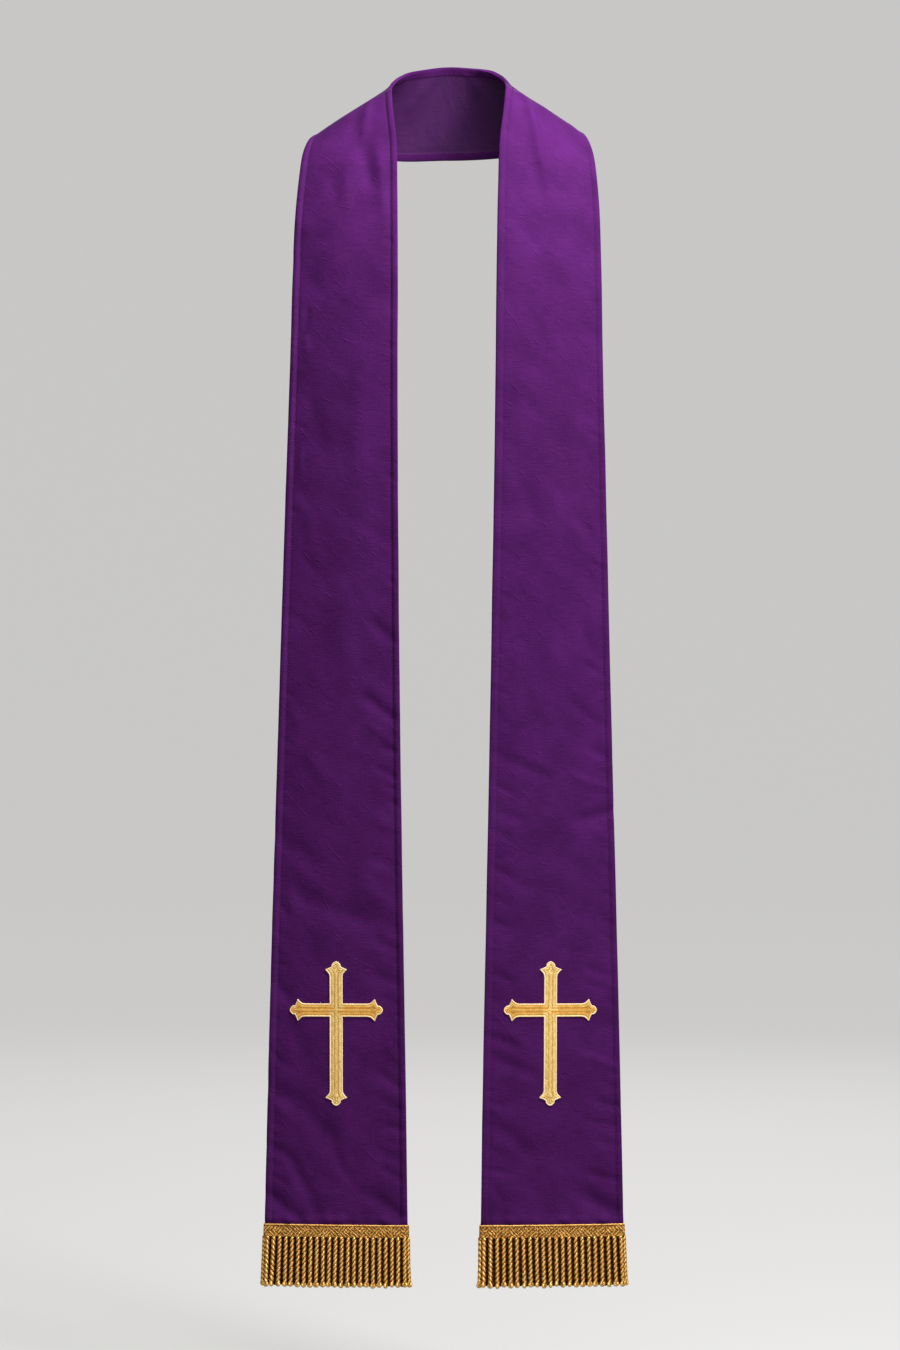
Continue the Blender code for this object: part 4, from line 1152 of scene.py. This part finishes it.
def strand_spine(side, root, from_middle, depth, lean):
    """Points down the middle of a strand. The nearer it is to a side of the hem, the further its tip stands
    out."""
    down = np.clip(depth / FRINGE_LENGTH, 0.0, 1.0)
    beside_cloth = math.copysign(1.0, from_middle) if abs(from_middle) > 1 else 0.0
    aside = (STRAND_TIPS_SPREAD * from_middle * abs(from_middle) + STRANDS_LEAN[side]) * down
    aside += beside_cloth * SIDE_STRAND_FLARE * down ** 3
    spine = root + np.outer(down ** 2, lean) - np.outer(depth, [0, 0, 1])
    spine[:, 0] += aside
    return spine


def strand_cord(spine, from_tip, pitch, sense, facing, thicker):
    """The cord of one strand, down along one ply, round the loop at the tip and up along the other, and the
    directions out of the strand along it."""
    phase = facing + sense * 2 * math.pi * from_tip / pitch
    spoke = np.column_stack([np.cos(phase), np.sin(phase), np.zeros(len(phase))])
    turn = np.linspace(0, math.pi, 11)[1:-1]
    heading = np.array([math.cos(facing), math.sin(facing), 0.0])
    offset = PLY_OFFSET * thicker
    sideways = offset * np.cos(turn) + LOOP_SPREAD * np.sin(2 * turn)
    loop = spine[-1] + np.outer(sideways, heading) - np.outer(LOOP_DROP * np.sin(turn), [0, 0, 1])
    loop_spoke = np.outer(np.cos(turn), heading) - np.outer(np.sin(turn), [0, 0, 1])
    cord = np.vstack([spine + offset * spoke, loop, (spine - offset * spoke)[::-1]])
    return cord, np.vstack([spoke, loop_spoke, -spoke[::-1]])


def make_bullion(name, side, materials):
    """The fringe's strands, a little uneven in length, twist and lean. The first material is for all but the
    fronts of the strands behind the others, which get the second: a dull, nearly black painted shade."""
    random = np.random.default_rng(21 if side == LEFT else 22)
    width = float(width_at(LENGTH))
    middle_x = surface(side, [LENGTH], width / 2)[0, 0]
    grids = []
    for run, reach, behind in strand_places(side, width):
        root = beside_hem(side, run, BRAID_TOP + BRAID_HEIGHT, reach)
        from_middle = (root[0] - middle_x) / (width / 2)
        lean = np.array([random.normal(0, 0.35), random.normal(0, 0.3), 0.0]) * MM
        below_spine = LOOP_DROP + PLY_RADIUS + BEHIND_SHORTER * behind
        length = FRINGE_LENGTH - below_spine + random.normal(0, 0.45) * MM
        depth = np.linspace(-STRAND_HEAD, length, STRAND_STEPS)
        spine = strand_spine(side, root, from_middle, depth, lean)
        pitch = TWIST_PITCH * random.uniform(0.9, 1.1)
        sense = -1 if from_middle < -0.85 else 1    # those at the left side twist the other way
        thicker = BEHIND_THICKER if behind else 1.0
        cord, facings = strand_cord(spine, length - depth, pitch, sense, random.normal(0, 0.8), thicker)
        head = np.clip((depth + STRAND_HEAD) / HEAD_ROUNDING, 0.0, 1.0)
        swell = 0.45 + 0.55 * np.sqrt(1 - (1 - head) ** 2)
        whole = np.ones(len(cord) - 2 * len(swell))
        whole += KNOB * bell(np.arange(len(whole)) - (len(whole) - 1) / 2, KNOB_RINGS)
        radii = PLY_RADIUS * thicker * np.concatenate([swell, whole, swell[::-1]])
        strand = tube(cord, radii, PLY_SIDES, facings)
        to_tip = strand.uv[..., 0].max() / 2
        own_map = strand.uv + (STRAND_MAP * (len(grids) + 0.5) - to_tip, 0.0)
        depths = strand.points[..., 1]
        # painted shade: the faces of the back row that show between the strands in front get the dark
        # material
        in_front = depths[:-1, :-1] + depths[1:, 1:] < 2 * depths.mean()
        grids.append(Grid(strand.points, own_map, (in_front & (behind == 1)).astype(int)))
    return make_piece(name, grids, "ply", materials)


# ---- stage, light and camera ------------------------------------------------------------------------------

CAMERA_AT = (0.0016, -4.2, -0.6718)
LENS_PIXELS = 3695            # the focal length, where the picture's long side is 1350 pixels
PICTURE_HEIGHT = 1350
FLOOR_Z = -1.47


def make_camera():
    data = bpy.data.cameras.new("camera")
    data.sensor_width = 36.0      # fitted to the picture's long side
    data.lens = data.sensor_width * LENS_PIXELS / PICTURE_HEIGHT
    camera = bpy.data.objects.new("camera", data)
    camera.location = CAMERA_AT
    camera.rotation_euler = (math.radians(90), 0.0, 0.0)
    bpy.context.scene.collection.objects.link(camera)
    bpy.context.scene.camera = camera


def make_stage():
    """A pale floor that curves up far away into a wall all round."""
    floor_radius, curve_radius, wall_top = 8.0, 2.5, 7.0
    bend = np.linspace(0, math.pi / 2, 13)
    curve = floor_radius + curve_radius * np.sin(bend)
    radii = np.concatenate([[0.0, 2.0, 5.0], curve, [floor_radius + curve_radius]])
    heights = np.concatenate([[0.0, 0.0, 0.0], curve_radius * (1 - np.cos(bend)), [wall_top]])
    turn = np.linspace(0, 2 * math.pi, 97)
    points = np.stack(np.broadcast_arrays(
        radii[:, None] * np.cos(turn), radii[:, None] * np.sin(turn), FLOOR_Z + heights[:, None],
    ), axis=-1)
    points[:, -1] = points[:, 0]
    quads = grid_quads(*points.shape[:2]).reshape(-1, 4)
    mesh = bpy.data.meshes.new("stage")
    mesh.from_pydata(points.reshape(-1, 3).tolist(), [], quads.tolist())
    mesh.shade_smooth()
    material = bpy.data.materials.new("pale_stage")
    material.use_nodes = True
    shader = material.node_tree.nodes["Principled BSDF"]
    shader.inputs["Base Color"].default_value = rgba(0.20, 0.199, 0.197)
    shader.inputs["Roughness"].default_value = 0.9
    shader.inputs["Emission Color"].default_value = rgba(1.0, 0.99, 0.97)
    shader.inputs["Emission Strength"].default_value = 0.50
    mesh.materials.append(material)
    stage = bpy.data.objects.new("stage", mesh)
    bpy.context.scene.collection.objects.link(stage)
    stage.visible_diffuse = False
    stage.visible_glossy = False


# Soft white lights: where they stand, what they point at, size in metres and power in watts.
Light = namedtuple("Light", "name at towards size watts")
LIGHTS = (
    Light("key", (1.3, -1.3, 1.15), (0.03, -0.1, -0.25), 0.7, 92.0),
    Light("near", (0.2, -0.45, 0.5), (0.03, -0.1, -0.15), 0.6, 11.0),
    Light("low", (0.2, -1.15, -1.15), (0.0, -0.15, -1.2), 0.4, 2.6),
    Light("back", (0.4, 3.0, 0.9), (0.0, 0.0, -0.6), 1.6, 40.0),
)
WORLD_STRENGTH = 0.32


def make_lights():
    for light in LIGHTS:
        data = bpy.data.lights.new(light.name, "AREA")
        data.size = light.size
        data.energy = light.watts
        lamp = bpy.data.objects.new(light.name, data)
        lamp.location = light.at
        aim = unit(np.subtract(light.towards, light.at))
        lamp.rotation_mode = "QUATERNION"
        lamp.rotation_quaternion = Vector(aim).to_track_quat("-Z", "Y")
        lamp.visible_camera = False
        bpy.context.scene.collection.objects.link(lamp)
    world = bpy.data.worlds.new("studio")
    world.use_nodes = True
    world.node_tree.nodes["Background"].inputs["Color"].default_value = rgba(1.0, 1.0, 1.0)
    world.node_tree.nodes["Background"].inputs["Strength"].default_value = WORLD_STRENGTH
    bpy.context.scene.world = world
    bpy.context.scene.view_settings.view_transform = "Standard"


# ---- putting it together ----------------------------------------------------------------------------------


def main():
    make_camera()
    make_stage()
    make_lights()
    cloth_skins = [cloth_material(), lining_material()]
    thread = thread_material()
    # the upright's paler, yellower colours are a painted sheen of its satin stitches; the arms lack it
    satin_stitch = [
        satin_stitch_material(
            "gold_satin_upright", rgba(0.53, 0.285, 0.055), rgba(0.93, 0.685, 0.275), rgba(1.0, 0.80, 0.46),
        ),
        satin_stitch_material(
            "gold_satin_arms", rgba(0.54, 0.22, 0.025), rgba(0.92, 0.56, 0.145), rgba(1.0, 0.76, 0.42),
        ),
    ]
    gimp = braid_material()
    bullion = [
        bullion_material(
            "gold_bullion", rgba(0.30, 0.085, 0.005), rgba(1.0, 0.62, 0.175),
            roughness=0.28, gloss=0.8,
        ),
        # painted shade for the fronts of the strands behind, where they show between the strands in front
        bullion_material(
            "gold_bullion_painted_shade", rgba(0.02, 0.005, 0.0005), rgba(0.085, 0.028, 0.004),
            roughness=0.6, gloss=0.15,
        ),
    ]
    for side, word in SIDES:
        cloth = make_cloth(f"cloth_{word}", side, cloth_skins)
        topstitch = make_topstitch(f"topstitch_{word}", side, thread)
        cross = make_cross(f"embroidery_{word}", side, satin_stitch)
        braid = make_braid(f"braid_{word}", side, gimp)
        strands = make_bullion(f"bullion_{word}", side, bullion)
        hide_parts(f"panel_{word}")
        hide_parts(f"cross_{word}")
        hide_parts(f"fringe_{word}")
        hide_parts(f"fringe_{word}")


main()
